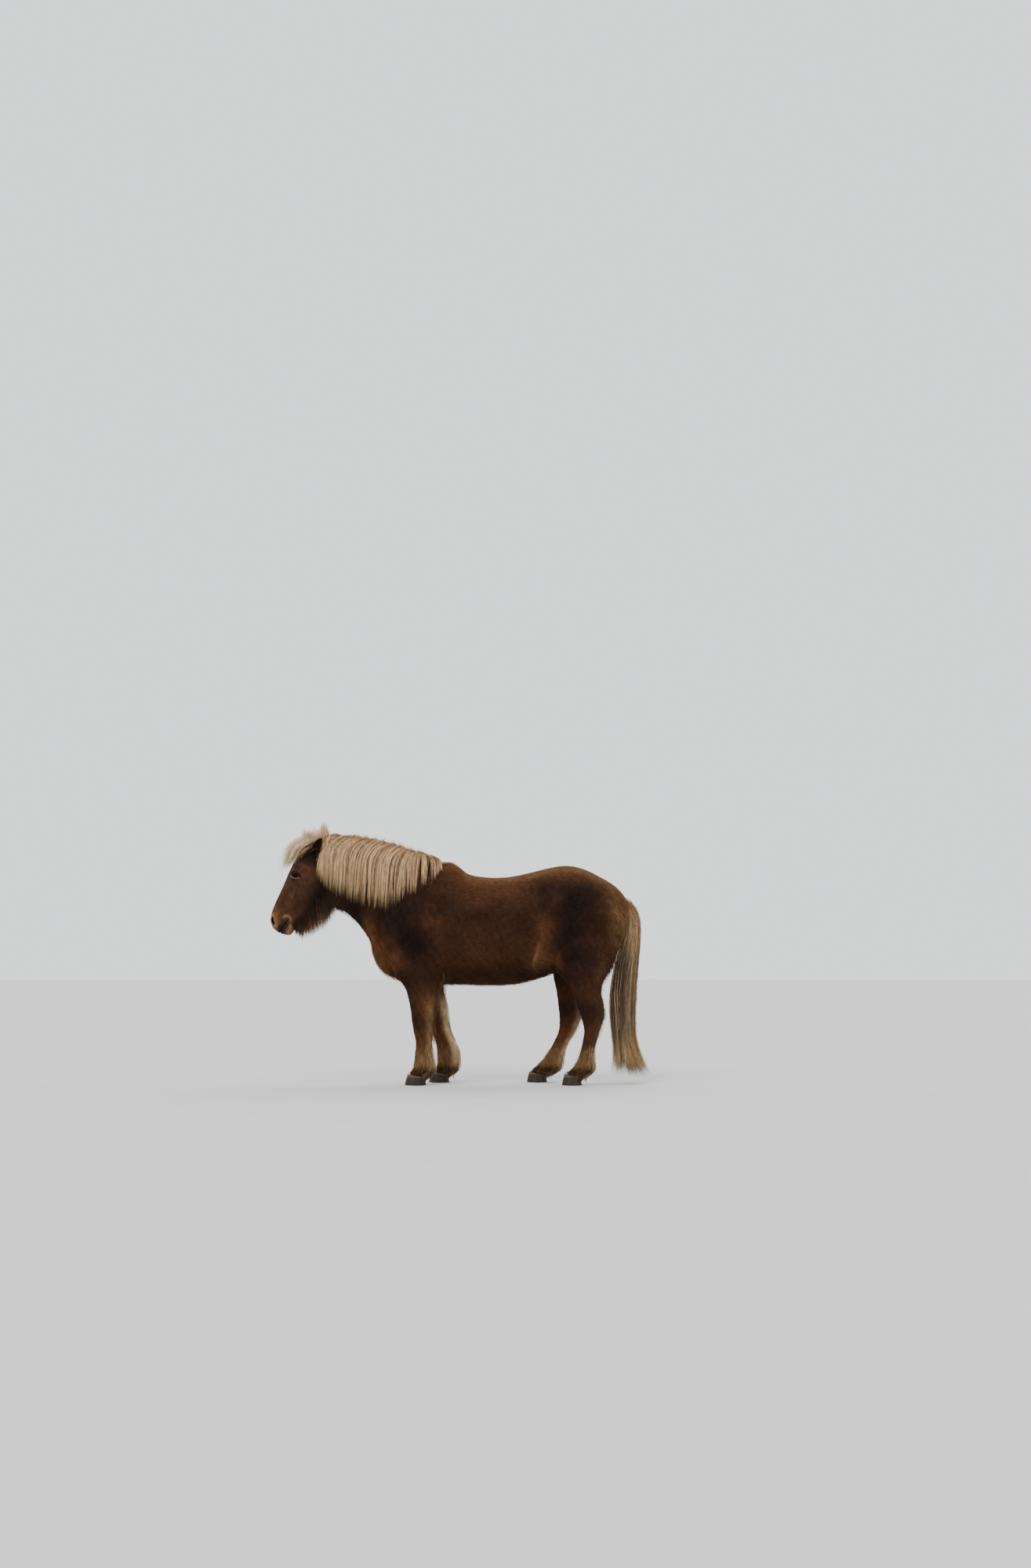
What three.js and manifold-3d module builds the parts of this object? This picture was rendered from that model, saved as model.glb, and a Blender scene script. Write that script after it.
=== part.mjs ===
// A life-size Icelandic horse that stands still in its winter coat, with a long mane, forelock and tail.
// Millimetres, +Z up. The horse looks to -X, its left side is -Y, and its hooves stand on Z = 0.
// Flesh is made of tubes through hand-set stations: the front or top point and the back or low point of
// the side outline there, and half the width. The tubes are joined and then parted with thin cuts.
import * as THREE from "three";
import { mergeVertices } from "three/addons/utils/BufferGeometryUtils.js";
import Module from "manifold-3d";

const wasm = await Module();
wasm.setup();

// Driving dimensions
const GAP = 0.3;
const CLEAR = 0.6;
const FRONT_STANCE = 132;
const HIND_STANCE = 138;
const EYE_RADIUS = 21;
const EAR_LENGTH = 138;
const BISECTIONS = 24;

// The head's own frame: along runs down the face from the poll, and rise stands out in front of the face.
const POLL = [-1003, 1561];
const FACE_SLOPE = THREE.MathUtils.degToRad(65.8);

function onHead(along, rise) {
  const x = POLL[0] - Math.cos(FACE_SLOPE) * along - Math.sin(FACE_SLOPE) * rise;
  const z = POLL[1] - Math.sin(FACE_SLOPE) * along + Math.cos(FACE_SLOPE) * rise;
  return [x, z];
}

// Solids

function solidOf(geometry) {
  const bare = geometry.index ? geometry.toNonIndexed() : geometry.clone();
  for (const name of Object.keys(bare.attributes)) {
    if (name !== "position") bare.deleteAttribute(name);
  }
  const merged = mergeVertices(bare, 1e-3);
  const vertProperties = merged.attributes.position.array;
  const triVerts = new Uint32Array(merged.index.array);
  const made = new wasm.Manifold(new wasm.Mesh({ numProp: 3, vertProperties, triVerts }));
  if (made.volume() > 0) return made;
  for (let i = 0; i < triVerts.length; i += 3) {
    [triVerts[i + 1], triVerts[i + 2]] = [triVerts[i + 2], triVerts[i + 1]];
  }
  return new wasm.Manifold(new wasm.Mesh({ numProp: 3, vertProperties, triVerts }));
}

function geometryOf(solid) {
  const mesh = solid.getMesh();
  const points = new Float32Array(mesh.numVert * 3);
  for (let i = 0; i < mesh.numVert; i++) {
    points.set(mesh.vertProperties.subarray(i * mesh.numProp, i * mesh.numProp + 3), i * 3);
  }
  const geometry = new THREE.BufferGeometry();
  geometry.setAttribute("position", new THREE.BufferAttribute(points, 3));
  geometry.setIndex(new THREE.BufferAttribute(mesh.triVerts, 1));
  return geometry;
}

function joined(solids) {
  return wasm.Manifold.union(solids);
}

function largest(solid) {
  return solid.decompose().reduce((best, next) => (next.volume() > best.volume() ? next : best));
}

// A closed skin over rings of points, each ring with as many points as the first.
function skin(rings) {
  const sides = rings[0].length;
  const points = rings.flat();
  const faces = [];
  for (let i = 0; i + 1 < rings.length; i++) {
    for (let j = 0; j < sides; j++) {
      const a = i * sides + j;
      const b = i * sides + ((j + 1) % sides);
      faces.push(a, b, b + sides, a, b + sides, a + sides);
    }
  }
  const middle = (ring) => ring.reduce((sum, p) => sum.add(p), new THREE.Vector3()).divideScalar(sides);
  const first = points.push(middle(rings[0])) - 1;
  const last = points.push(middle(rings[rings.length - 1])) - 1;
  for (let j = 0; j < sides; j++) {
    const next = (j + 1) % sides;
    faces.push(first, next, j);
    faces.push(last, (rings.length - 1) * sides + j, (rings.length - 1) * sides + next);
  }
  const geometry = new THREE.BufferGeometry();
  geometry.setAttribute("position", new THREE.Float32BufferAttribute(points.flatMap((p) => p.toArray()), 3));
  geometry.setIndex(faces);
  return solidOf(geometry);
}

// A tube through stations. Each has top and low as [x, z], half its width, y of its middle, wide, the
// share of its height at which it is widest, and peak and keel, how much it narrows above and below.
class Tube {
  constructor(stations) {
    const track = (pick) => {
      const points = stations.map((station) => new THREE.Vector3(...pick(station)));
      return new THREE.CatmullRomCurve3(points, false, "catmullrom", 0.5);
    };
    this.top = track((s) => [s.top[0], s.y ?? 0, s.top[1]]);
    this.low = track((s) => [s.low[0], s.y ?? 0, s.low[1]]);
    this.size = track((s) => [s.half, s.wide ?? 0.5, 0]);
    this.form = track((s) => [s.peak ?? 0, s.keel ?? 0, 0]);
  }

  station(t) {
    const top = this.top.getPoint(t);
    const low = this.low.getPoint(t);
    const [half, wide] = this.size.getPoint(t).toArray();
    const [peak, keel] = this.form.getPoint(t).toArray();
    const height = top.distanceTo(low);
    const up = top.clone().sub(low).divideScalar(height);
    return { low, up, height, half, wide, peak, keel };
  }

  // The surface at t along the tube and at an angle round it: 0 is its left side and 90 degrees its top.
  point(t, angle, out = 0) {
    const s = this.station(t);
    const rise = Math.sin(angle);
    const reach = (rise > 0 ? s.height * (1 - s.wide) : s.height * s.wide) + out;
    const narrowing = 1 - (rise > 0 ? s.peak : s.keel) * rise * rise;
    const aside = (s.half + out) * Math.cos(angle) * narrowing;
    const centre = s.low.clone().addScaledVector(s.up, s.height * s.wide);
    return centre.addScaledVector(s.up, reach * rise).add(new THREE.Vector3(0, -aside, 0));
  }

  // How far the surface stands out from y at a place of the side view, or 0 off the tube.
  reachAt(x, z) {
    const offset = (t) => {
      const { low, up } = this.station(t);
      return up.x * (z - low.z) - up.z * (x - low.x);
    };
    let [a, b] = [0, 1];
    if (offset(a) * offset(b) > 0) return 0;
    for (let i = 0; i < BISECTIONS; i++) {
      const middle = (a + b) / 2;
      if (offset(a) * offset(middle) > 0) a = middle;
      else b = middle;
    }
    const s = this.station((a + b) / 2);
    const rise = (x - s.low.x) * s.up.x + (z - s.low.z) * s.up.z - s.height * s.wide;
    const share = rise / (rise > 0 ? s.height * (1 - s.wide) : s.height * s.wide);
    if (Math.abs(share) >= 1) return 0;
    const narrowing = 1 - (rise > 0 ? s.peak : s.keel) * share * share;
    return s.half * Math.sqrt(1 - share * share) * narrowing;
  }

  // Out makes the tube larger all round and at both ends.
  solid(rings, sides, out = 0) {
    const made = [];
    for (let i = 0; i <= rings; i++) {
      const ring = [];
      for (let j = 0; j < sides; j++) {
        ring.push(this.point(i / rings, (2 * Math.PI * j) / sides, out));
      }
      made.push(ring);
    }
    if (out) {
      for (const [end, t, next] of [[0, 0, 0.01], [rings, 1, 0.99]]) {
        const beyond = this.point(t, 0).sub(this.point(next, 0)).setY(0).setLength(2 * out);
        made[end].forEach((p) => p.add(beyond));
      }
    }
    return skin(made);
  }
}

// Torso, neck and head

const torso = new Tube([
  { top: [-566, 960], low: [-556, 830], half: 60 },
  { top: [-530, 1090], low: [-514, 745], half: 135, wide: 0.5 },
  { top: [-430, 1230], low: [-436, 682], half: 185, wide: 0.45 },
  { top: [-310, 1330], low: [-330, 648], half: 212, wide: 0.42, peak: 0.1 },
  { top: [-170, 1385], low: [-190, 634], half: 226, wide: 0.42, peak: 0.3 },
  { top: [-45, 1403], low: [-60, 629], half: 240, wide: 0.44, peak: 0.4 },
  { top: [60, 1338], low: [60, 626], half: 258, wide: 0.48, peak: 0.15 },
  { top: [180, 1316], low: [180, 623], half: 276, wide: 0.48 },
  { top: [310, 1318], low: [300, 626], half: 286, wide: 0.48, peak: -0.05 },
  { top: [440, 1342], low: [420, 642], half: 284, wide: 0.5, peak: -0.05 },
  { top: [560, 1372], low: [540, 680], half: 272, wide: 0.52, peak: -0.05 },
  { top: [680, 1391], low: [650, 716], half: 262, wide: 0.55, peak: 0 },
  { top: [790, 1373], low: [770, 735], half: 254, wide: 0.55 },
  { top: [900, 1322], low: [880, 760], half: 238, wide: 0.55 },
  { top: [1000, 1260], low: [980, 820], half: 200, wide: 0.55 },
  { top: [1062, 1190], low: [1045, 905], half: 140, wide: 0.5 },
  { top: [1085, 1120], low: [1075, 1010], half: 55 },
]);

const neck = new Tube([
  { top: [-925, 1490], low: [-905, 1330], half: 50, wide: 0.5 },
  { top: [-878, 1520], low: [-850, 1215], half: 70, wide: 0.48 },
  { top: [-775, 1550], low: [-800, 1128], half: 88, wide: 0.45, peak: 0.25 },
  { top: [-650, 1547], low: [-735, 1086], half: 98, wide: 0.42, peak: 0.35 },
  { top: [-530, 1528], low: [-655, 1015], half: 112, wide: 0.4, peak: 0.4 },
  { top: [-405, 1498], low: [-594, 935], half: 132, wide: 0.38, peak: 0.42 },
  { top: [-285, 1458], low: [-550, 850], half: 158, wide: 0.36, peak: 0.42 },
  { top: [-160, 1420], low: [-478, 775], half: 180, wide: 0.36, peak: 0.42 },
  { top: [-40, 1372], low: [-380, 760], half: 172, wide: 0.38, peak: 0.45 },
]);

const head = new Tube([
  { top: onHead(-8, -114), low: onHead(-10, -210), half: 42 },
  { top: onHead(14, -74), low: onHead(20, -270), half: 62, wide: 0.55 },
  { top: onHead(62, -31), low: onHead(80, -305), half: 78, wide: 0.6, peak: -0.05 },
  { top: onHead(140, -5), low: onHead(160, -326), half: 93, wide: 0.72, peak: -0.25, keel: -0.15 },
  { top: onHead(225, 1), low: onHead(240, -328), half: 99, wide: 0.76, peak: -0.2, keel: -0.1 },
  { top: onHead(305, 0), low: onHead(322, -304), half: 84, wide: 0.68, peak: -0.1, keel: -0.1 },
  { top: onHead(390, 0), low: onHead(402, -258), half: 66, wide: 0.6, peak: -0.1 },
  { top: onHead(460, 0), low: onHead(468, -212), half: 56, wide: 0.56, peak: -0.1 },
  { top: onHead(520, -5), low: onHead(520, -190), half: 54, wide: 0.56, peak: -0.15 },
  { top: onHead(563, -18), low: onHead(560, -192), half: 57, wide: 0.6, peak: -0.15, keel: 0.1 },
  { top: onHead(592, -40), low: onHead(588, -190), half: 50, wide: 0.58, peak: -0.15, keel: 0.1 },
  { top: onHead(608, -66), low: onHead(604, -172), half: 36, wide: 0.55 },
  { top: onHead(614, -92), low: onHead(612, -142), half: 14 },
]);

// Legs: top is the front edge of the leg in the side view, and low its back edge.

const LEGS = {
  leg_front_left: {
    y: -FRONT_STANCE,
    cell: { front: [-420, 705], back: [-60, 615] },
    stations: [
      { top: [-300, 1160], low: [-110, 1160], half: 40, in: 34 },
      { top: [-385, 985], low: [-90, 960], half: 68, in: 22 },
      { top: [-432, 838], low: [-85, 812], half: 80, in: 6 },
      { top: [-410, 710], low: [-100, 700], half: 76 },
      { top: [-341, 605], low: [-125, 600], half: 62 },
      { top: [-309, 485], low: [-146, 490], half: 53 },
      { top: [-296, 395], low: [-155, 400], half: 47 },
      { top: [-288, 340], low: [-155, 345], half: 45 },
      { top: [-274, 280], low: [-160, 285], half: 37 },
      { top: [-275, 210], low: [-158, 210], half: 36 },
      { top: [-283, 150], low: [-148, 145], half: 41 },
      { top: [-290, 100], low: [-142, 85], half: 47 },
      { top: [-318, 68], low: [-180, 44], half: 52 },
    ],
    sole: { toe: -336, heel: -200 },
  },
  leg_front_right: {
    y: FRONT_STANCE,
    cell: { front: [-420, 705], back: [-60, 615] },
    stations: [
      { top: [-290, 1160], low: [-100, 1160], half: 40, in: 34 },
      { top: [-375, 985], low: [-80, 960], half: 68, in: 22 },
      { top: [-412, 838], low: [-75, 812], half: 80, in: 6 },
      { top: [-370, 710], low: [-85, 700], half: 76 },
      { top: [-290, 605], low: [-100, 600], half: 62 },
      { top: [-240, 485], low: [-82, 490], half: 53 },
      { top: [-212, 395], low: [-72, 400], half: 47 },
      { top: [-198, 340], low: [-62, 345], half: 45 },
      { top: [-168, 280], low: [-34, 285], half: 37 },
      { top: [-152, 210], low: [-6, 210], half: 36 },
      { top: [-148, 150], low: [3, 145], half: 41 },
      { top: [-152, 100], low: [-4, 85], half: 47 },
      { top: [-180, 68], low: [-44, 44], half: 52 },
    ],
    sole: { toe: -198, heel: -64 },
  },
  leg_hind_left: {
    y: -HIND_STANCE,
    cell: { front: [560, 706], back: [1030, 770] },
    stations: [
      { top: [680, 1200], low: [960, 1180], half: 50, in: 40 },
      { top: [620, 1010], low: [1046, 1030], half: 82, in: 22 },
      { top: [588, 866], low: [1022, 880], half: 92, in: 5 },
      { top: [604, 745], low: [978, 750], half: 86 },
      { top: [680, 655], low: [925, 660], half: 70 },
      { top: [722, 570], low: [908, 575], half: 56 },
      { top: [748, 490], low: [922, 500], half: 46 },
      { top: [776, 405], low: [926, 432], half: 43 },
      { top: [790, 335], low: [902, 355], half: 40 },
      { top: [778, 265], low: [878, 275], half: 35 },
      { top: [763, 200], low: [860, 205], half: 34 },
      { top: [742, 145], low: [860, 150], half: 40 },
      { top: [708, 98], low: [858, 92], half: 46 },
      { top: [668, 70], low: [800, 42], half: 50 },
    ],
    sole: { toe: 652, heel: 780 },
  },
  leg_hind_right: {
    y: HIND_STANCE,
    cell: { front: [560, 706], back: [1030, 770] },
    stations: [
      { top: [680, 1200], low: [960, 1180], half: 50, in: 40 },
      { top: [620, 1010], low: [1046, 1030], half: 82, in: 22 },
      { top: [584, 866], low: [1006, 880], half: 92, in: 5 },
      { top: [596, 745], low: [945, 750], half: 86 },
      { top: [606, 655], low: [862, 665], half: 70 },
      { top: [624, 570], low: [815, 590], half: 56 },
      { top: [634, 490], low: [798, 515], half: 46 },
      { top: [642, 400], low: [795, 440], half: 43 },
      { top: [634, 320], low: [764, 345], half: 40 },
      { top: [600, 248], low: [716, 262], half: 35 },
      { top: [560, 182], low: [684, 200], half: 34 },
      { top: [522, 132], low: [672, 145], half: 40 },
      { top: [482, 92], low: [656, 84], half: 46 },
      { top: [448, 66], low: [584, 38], half: 50 },
    ],
    sole: { toe: 434, heel: 566 },
  },
};

for (const leg of Object.values(LEGS)) {
  const inward = -Math.sign(leg.y);
  leg.tube = new Tube(leg.stations.map((s) => ({ ...s, y: leg.y + inward * (s.in ?? 0) })));
}

// Nodes

const MATERIALS = {
  coat: new THREE.MeshStandardMaterial({ color: 0x5a2f1b, roughness: 0.9 }),
  neck: new THREE.MeshStandardMaterial({ color: 0xb99468, roughness: 0.85 }),
  tail: new THREE.MeshStandardMaterial({ color: 0xa58459, roughness: 0.85 }),
  eye: new THREE.MeshStandardMaterial({ color: 0x140c08, roughness: 0.1 }),
  hoof: new THREE.MeshStandardMaterial({ color: 0x6b6259, roughness: 0.6 }),
};

function trim(solid, plane, gap = GAP) {
  return solid.trimByPlane(plane.normal, plane.offset + gap / 2);
}

// A plane square to the side view through two of its points. It faces to the left of the way from a to b.
function planeThrough(a, b) {
  const along = new THREE.Vector2(b[0] - a[0], b[1] - a[1]).normalize();
  const normal = [-along.y, 0, along.x];
  return { normal, offset: normal[0] * a[0] + normal[2] * a[1] };
}

function reverse(plane) {
  return { normal: plane.normal.map((n) => -n), offset: -plane.offset };
}

const THROAT_CUT = planeThrough([-862, 1570], [-782, 1090]);
const NECK_CUT = planeThrough([-120, 1440], [-575, 800]);

// The space of one leg: a prism below a sloping cut, which spreads under the belly.
const CELL_INNER = 32;
const CELL_OUTER = 300;
const CELL_SPREAD = 110;

function legCell(leg, grow = 0) {
  const { front, back } = leg.cell;
  const g = grow;
  const outline = new THREE.Shape([
    [front[0] - g, front[1] + g],
    [back[0] + g, back[1] + g],
    [back[0] + g, back[1] - 60],
    [back[0] + CELL_SPREAD + g, back[1] - 100],
    [back[0] + CELL_SPREAD + g, -5],
    [front[0] - CELL_SPREAD - 30 - g, -5],
    [front[0] - CELL_SPREAD - 30 - g, front[1] - 140],
    [front[0] - g, front[1] - 60],
  ].map((p) => new THREE.Vector2(...p)));
  const depth = CELL_OUTER - CELL_INNER + g;
  const prism = new THREE.ExtrudeGeometry(outline, { depth, bevelEnabled: false });
  prism.rotateX(Math.PI / 2);
  prism.translate(0, leg.y < 0 ? -(CELL_INNER - g) : CELL_OUTER, 0);
  return solidOf(prism);
}

// Head details

const SIDES = { left: -1, right: 1 };
const EYE = { along: 241, rise: -56, sunk: 14, lid: 4.5, halfLength: 21, halfHeight: 13 };
const NOSTRIL = { along: 565, rise: -46, depth: 26, length: 23, width: 11, rim: 5 };
const MOUTH = { from: 508, to: 611, rise: -134, groove: 3.2 };
const EAR = { along: 84, rise: -106, aside: 66, tip: [-876, 1570], splay: 34 };

function ellipsoid(place, radii, turn = 0) {
  const shape = new THREE.SphereGeometry(1, 10, 7);
  shape.scale(...radii);
  shape.rotateY(turn);
  shape.translate(...place);
  return solidOf(shape);
}

// A point on the head's side, sunk below its skin, from its place in the head's own frame.
function besideHead(along, rise, sign, sunk = 0) {
  const [x, z] = onHead(along, rise);
  return [x, sign * (head.reachAt(x, z) - sunk), z];
}

function eyeball(sign, grow = 0) {
  const shape = new THREE.SphereGeometry(EYE_RADIUS + grow, 12, 8);
  shape.rotateX(Math.PI / 2);
  shape.translate(...besideHead(EYE.along, EYE.rise, sign, EYE.sunk));
  return solidOf(shape);
}

// The almond between the lids, as a prism that runs outwards from the middle of the eye.
function lidOpening(sign) {
  const almond = new THREE.Shape();
  almond.moveTo(-EYE.halfLength, -2);
  almond.quadraticCurveTo(0, 2 * EYE.halfHeight, EYE.halfLength, 2);
  almond.quadraticCurveTo(0, -2 * EYE.halfHeight + 4, -EYE.halfLength, -2);
  const prism = new THREE.ExtrudeGeometry(almond, { depth: 60, bevelEnabled: false, curveSegments: 5 });
  prism.rotateX(Math.PI / 2);
  if (sign > 0) prism.translate(0, 60, 0);
  prism.translate(...besideHead(EYE.along, EYE.rise, sign, EYE.sunk));
  return solidOf(prism);
}

function mouthGroove(sign) {
  const rings = [];
  const steps = 7;
  for (let i = 0; i <= steps; i++) {
    const along = MOUTH.from + ((MOUTH.to - MOUTH.from) * i) / steps;
    const rise = MOUTH.rise + 10 * Math.sin((Math.PI * i) / steps);
    const [x, y, z] = besideHead(along, rise, sign);
    const size = i === 0 ? 1.2 : MOUTH.groove;
    rings.push([
      new THREE.Vector3(x, y + sign * size, z + size),
      new THREE.Vector3(x, y - sign * 2 * size, z),
      new THREE.Vector3(x, y + sign * size, z - size),
    ]);
  }
  return skin(rings);
}

function headFlesh() {
  const raised = [head.solid(24, 18)];
  const cut = [];
  const slope = Math.PI / 2 - FACE_SLOPE;
  for (const sign of Object.values(SIDES)) {
    raised.push(ellipsoid(besideHead(EYE.along, EYE.rise, sign, EYE.sunk), Array(3).fill(EYE_RADIUS + EYE.lid)));
    raised.push(ellipsoid(besideHead(EYE.along - 20, EYE.rise + 16, sign, 11), [24, 15, 42], slope));
    raised.push(ellipsoid(besideHead(235, -200, sign, 34), [96, 40, 112], slope));
    const nostril = besideHead(NOSTRIL.along, NOSTRIL.rise, sign, 6);
    const { length, width, depth, rim } = NOSTRIL;
    raised.push(ellipsoid(nostril, [width + rim, 12, length + rim], 0.25));
    cut.push(ellipsoid(besideHead(NOSTRIL.along, NOSTRIL.rise, sign, -4), [width, depth, length], 0.25));
    cut.push(lidOpening(sign));
    cut.push(mouthGroove(sign));
  }
  return joined(raised).subtract(joined(cut));
}

// The ear in its own frame: its opening looks to +X and its tip is up. The scoop is what its cup leaves out.
const earShell = new Tube([
  { top: [20, -30], low: [-20, -30], half: 18 },
  { top: [22, 0], low: [-22, 0], half: 21 },
  { top: [24, 38], low: [-23, 38], half: 30 },
  { top: [19, 76], low: [-19, 76], half: 28 },
  { top: [10, 110], low: [-12, 110], half: 18 },
  { top: [1, EAR_LENGTH], low: [-5, EAR_LENGTH], half: 3 },
]);
const earScoop = new Tube([
  { top: [34, 8], low: [6, 8], half: 7 },
  { top: [40, 38], low: [-11, 38], half: 23 },
  { top: [36, 76], low: [-9, 76], half: 21 },
  { top: [26, 108], low: [-3, 108], half: 12 },
  { top: [14, EAR_LENGTH - 8], low: [2, EAR_LENGTH - 8], half: 3 },
]);

function ear(sign, grow = 0) {
  const base = besideHead(EAR.along, EAR.rise, sign);
  base[1] = sign * EAR.aside;
  const up = new THREE.Vector3(EAR.tip[0] - base[0], sign * EAR.splay, EAR.tip[1] - base[2]).normalize();
  const look = new THREE.Vector3(-0.55, sign * 0.85, 0.1);
  look.addScaledVector(up, -look.dot(up)).normalize();
  const across = new THREE.Vector3().crossVectors(up, look);
  const place = new THREE.Matrix4().makeBasis(look, across, up).setPosition(...base);
  const shell = earShell.solid(9, 10, grow);
  const cup = grow ? shell : shell.subtract(earScoop.solid(7, 8));
  return cup.transform(place.elements);
}

function ears(grow) {
  return Object.values(SIDES).map((sign) => ear(sign, grow));
}

// Hooves: each starts a gap below the leg's own end and spreads to the floor.
function hoof(leg, grow = 0) {
  const end = leg.stations[leg.stations.length - 1];
  const { toe, heel } = leg.sole;
  const lower = (p) => [p[0], p[1] - GAP];
  const shape = new Tube([
    { top: lower(end.top), low: lower(end.low), half: end.half, y: leg.y },
    { top: [toe + 4, 26], low: [heel - 2, 24], half: end.half + 6, y: leg.y, keel: -0.15 },
    { top: [toe, 0], low: [heel, 0], half: end.half + 9, y: leg.y, keel: -0.2 },
  ]);
  return shape.solid(3, 18, grow);
}

// Hair

function seeded(seed) {
  let state = seed;
  return (low = 0, high = 1) => {
    state = (state * 1664525 + 1013904223) >>> 0;
    return low + ((high - low) * state) / 2 ** 32;
  };
}

const mix = THREE.MathUtils.lerp;
const ease = (t) => THREE.MathUtils.smoothstep(t, 0, 1);

// Reads a table of rows [key, value, value ...] with rising keys at a key between two rows.
function between(table, key) {
  let i = 0;
  while (i < table.length - 2 && key > table[i + 1][0]) i++;
  const share = THREE.MathUtils.clamp((key - table[i][0]) / (table[i + 1][0] - table[i][0]), 0, 1);
  return table[i].slice(1).map((value, k) => mix(value, table[i + 1][k + 1], share));
}

// A flat lock along a path from its sunk root to its tip. Facing is the way its ridge looks.
function lock(path, width, thick, facing, rings = 6) {
  const curve = new THREE.CatmullRomCurve3(path, false, "catmullrom", 0.5);
  const made = [];
  for (let i = 0; i < rings; i++) {
    const t = i / (rings - 1);
    const at = curve.getPoint(t);
    const along = curve.getTangent(t);
    const across = new THREE.Vector3().crossVectors(along, facing).normalize();
    const out = new THREE.Vector3().crossVectors(across, along);
    const taper = t < 0.3 ? 0.6 + (0.4 * t) / 0.3 : 1 - 0.95 * ((t - 0.3) / 0.7) ** 1.7;
    const spread = across.multiplyScalar(width * taper);
    const rise = out.multiplyScalar(thick * taper);
    made.push([at.clone().add(spread), at.clone().add(rise), at.clone().sub(spread)]);
  }
  return skin(made);
}

// The mane: the root's x on the crest, and the tip's x and z.
const MANE_FALL = [
  [-836, -896, 1318],
  [-795, -880, 1262],
  [-700, -800, 1205],
  [-600, -705, 1150],
  [-500, -600, 1128],
  [-420, -500, 1102],
  [-350, -420, 1118],
  [-290, -345, 1190],
  [-230, -262, 1240],
  [-180, -180, 1292],
  [-128, -136, 1368],
];
const MANE = { left: 33, right: 5, lift: 24, width: 27, thick: 9, layer: 10 };

function flank(x, z) {
  return Math.max(neck.reachAt(x, z), torso.reachAt(x, z), head.reachAt(x, z));
}

const crest = Array.from({ length: 81 }, (_, i) => neck.top.getPoint(i / 80)).map((p) => [p.x, p.z]);

function maneLocks() {
  const random = seeded(7);
  const made = [];
  const total = MANE.left + MANE.right;
  for (let i = 0; i < total; i++) {
    const right = i >= MANE.left;
    const share = right ? (i - MANE.left + 0.5) / MANE.right : (i + random(0.1, 0.9)) / MANE.left;
    const rootX = mix(-836, -130, share);
    const late = 0.3 * THREE.MathUtils.clamp((-740 - rootX) / 100, 0, 1);
    const [rootZ] = between(crest, rootX);
    let [tipX, tipZ] = between(MANE_FALL, rootX);
    if (right) [tipX, tipZ] = [rootX - 30, mix(rootZ, tipZ, random(0.3, 0.45))];
    const short = i % 3 === 1 ? random(20, 70) * ((rootZ - tipZ) / 400) : random(-6, 12);
    const layer = (i % 3) * MANE.layer;
    const sign = right ? 1 : -1;
    const path = [
      new THREE.Vector3(rootX + 4, 0, rootZ - 16),
      new THREE.Vector3(rootX - 4, sign * (14 + layer * 0.7), rootZ + MANE.lift - 16 + layer * 0.8),
    ];
    let side = 24 + layer;
    for (const s of [0.16, 0.4, 0.7, 1]) {
      const x = mix(rootX, tipX + random(-8, 8), ease((s - late) / 0.7));
      const z = mix(rootZ + MANE.lift * (1 - s), tipZ + short, s);
      side = Math.max(side, flank(x, z) + 11 + layer);
      path.push(new THREE.Vector3(x, sign * side, z));
    }
    made.push(lock(path, MANE.width * random(0.85, 1.2), MANE.thick, new THREE.Vector3(0, sign, 0.35)));
  }
  return made;
}

// The forelock and the tuft at the poll, in the head's frame: along, rise and y of each point.
const FORELOCK = { locks: 5, width: 15, thick: 8, spread: 34 };
const FORELOCK_ROWS = [
  [[2, -108], [-50, -34], [10, 44], [110, 62], [198, 36]],
  [[40, -80], [10, -12], [60, 26], [118, 38], [176, 20]],
];
const forelockCore = new Tube([
  { top: onHead(-40, -56), low: onHead(-4, -140), half: 26 },
  { top: onHead(-24, -6), low: onHead(20, -110), half: 36 },
  { top: onHead(40, 24), low: onHead(60, -66), half: 40 },
  { top: onHead(98, 34), low: onHead(102, -44), half: 37 },
  { top: onHead(142, 20), low: onHead(138, -24), half: 22 },
]);
const HEAD_TOP = [
  [-8, -114],
  [14, -74],
  [62, -31],
  [140, -5],
];

function headPoint(along, rise, y) {
  const [x, z] = onHead(along, rise);
  return new THREE.Vector3(x, y, z);
}

function forelockLocks() {
  const random = seeded(3);
  const made = [forelockCore.solid(7, 10)];
  const front = headPoint(0, 1, 0).sub(headPoint(0, 0, 0));
  for (let row = 0; row < FORELOCK_ROWS.length; row++) {
    for (let i = 0; i < FORELOCK.locks; i++) {
      const side = (2 * i) / (FORELOCK.locks - 1) - 1;
      const y = side * FORELOCK.spread;
      const wide = 1 + random(-0.06, 0.06);
      const path = FORELOCK_ROWS[row].map(([along, rise], k) => {
        const reach = k > 2 ? 1 - 0.14 * Math.abs(side) + random(-0.05, 0.03) : 1;
        return headPoint(along * reach, rise - 26 * side * side * (k > 0 ? 1 : 0), y * [0.6, 1, 1.2, 1.3, 1.4][k] * wide);
      });
      const facing = front.clone().add(new THREE.Vector3(0, 0.7 * side, 0));
      made.push(lock(path, FORELOCK.width * random(0.9, 1.15), FORELOCK.thick, facing));
    }
  }
  const tips = [[-871, -4, 1682], [-886, -30, 1640], [-884, 26, 1640], [-930, -12, 1626]];
  for (const [x, y, z] of tips) {
    const path = [
      new THREE.Vector3(-892 + random(-8, 8), y * 0.4, 1506),
      new THREE.Vector3(mix(-894, x, 0.3), y * 0.7, mix(1506, z, 0.45)),
      new THREE.Vector3(mix(-890, x, 0.8), y, mix(1506, z, 0.8)),
      new THREE.Vector3(x, y, z),
    ];
    made.push(lock(path, 12, 6, new THREE.Vector3(0.3, 1, 0), 5));
  }
  return made;
}

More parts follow.
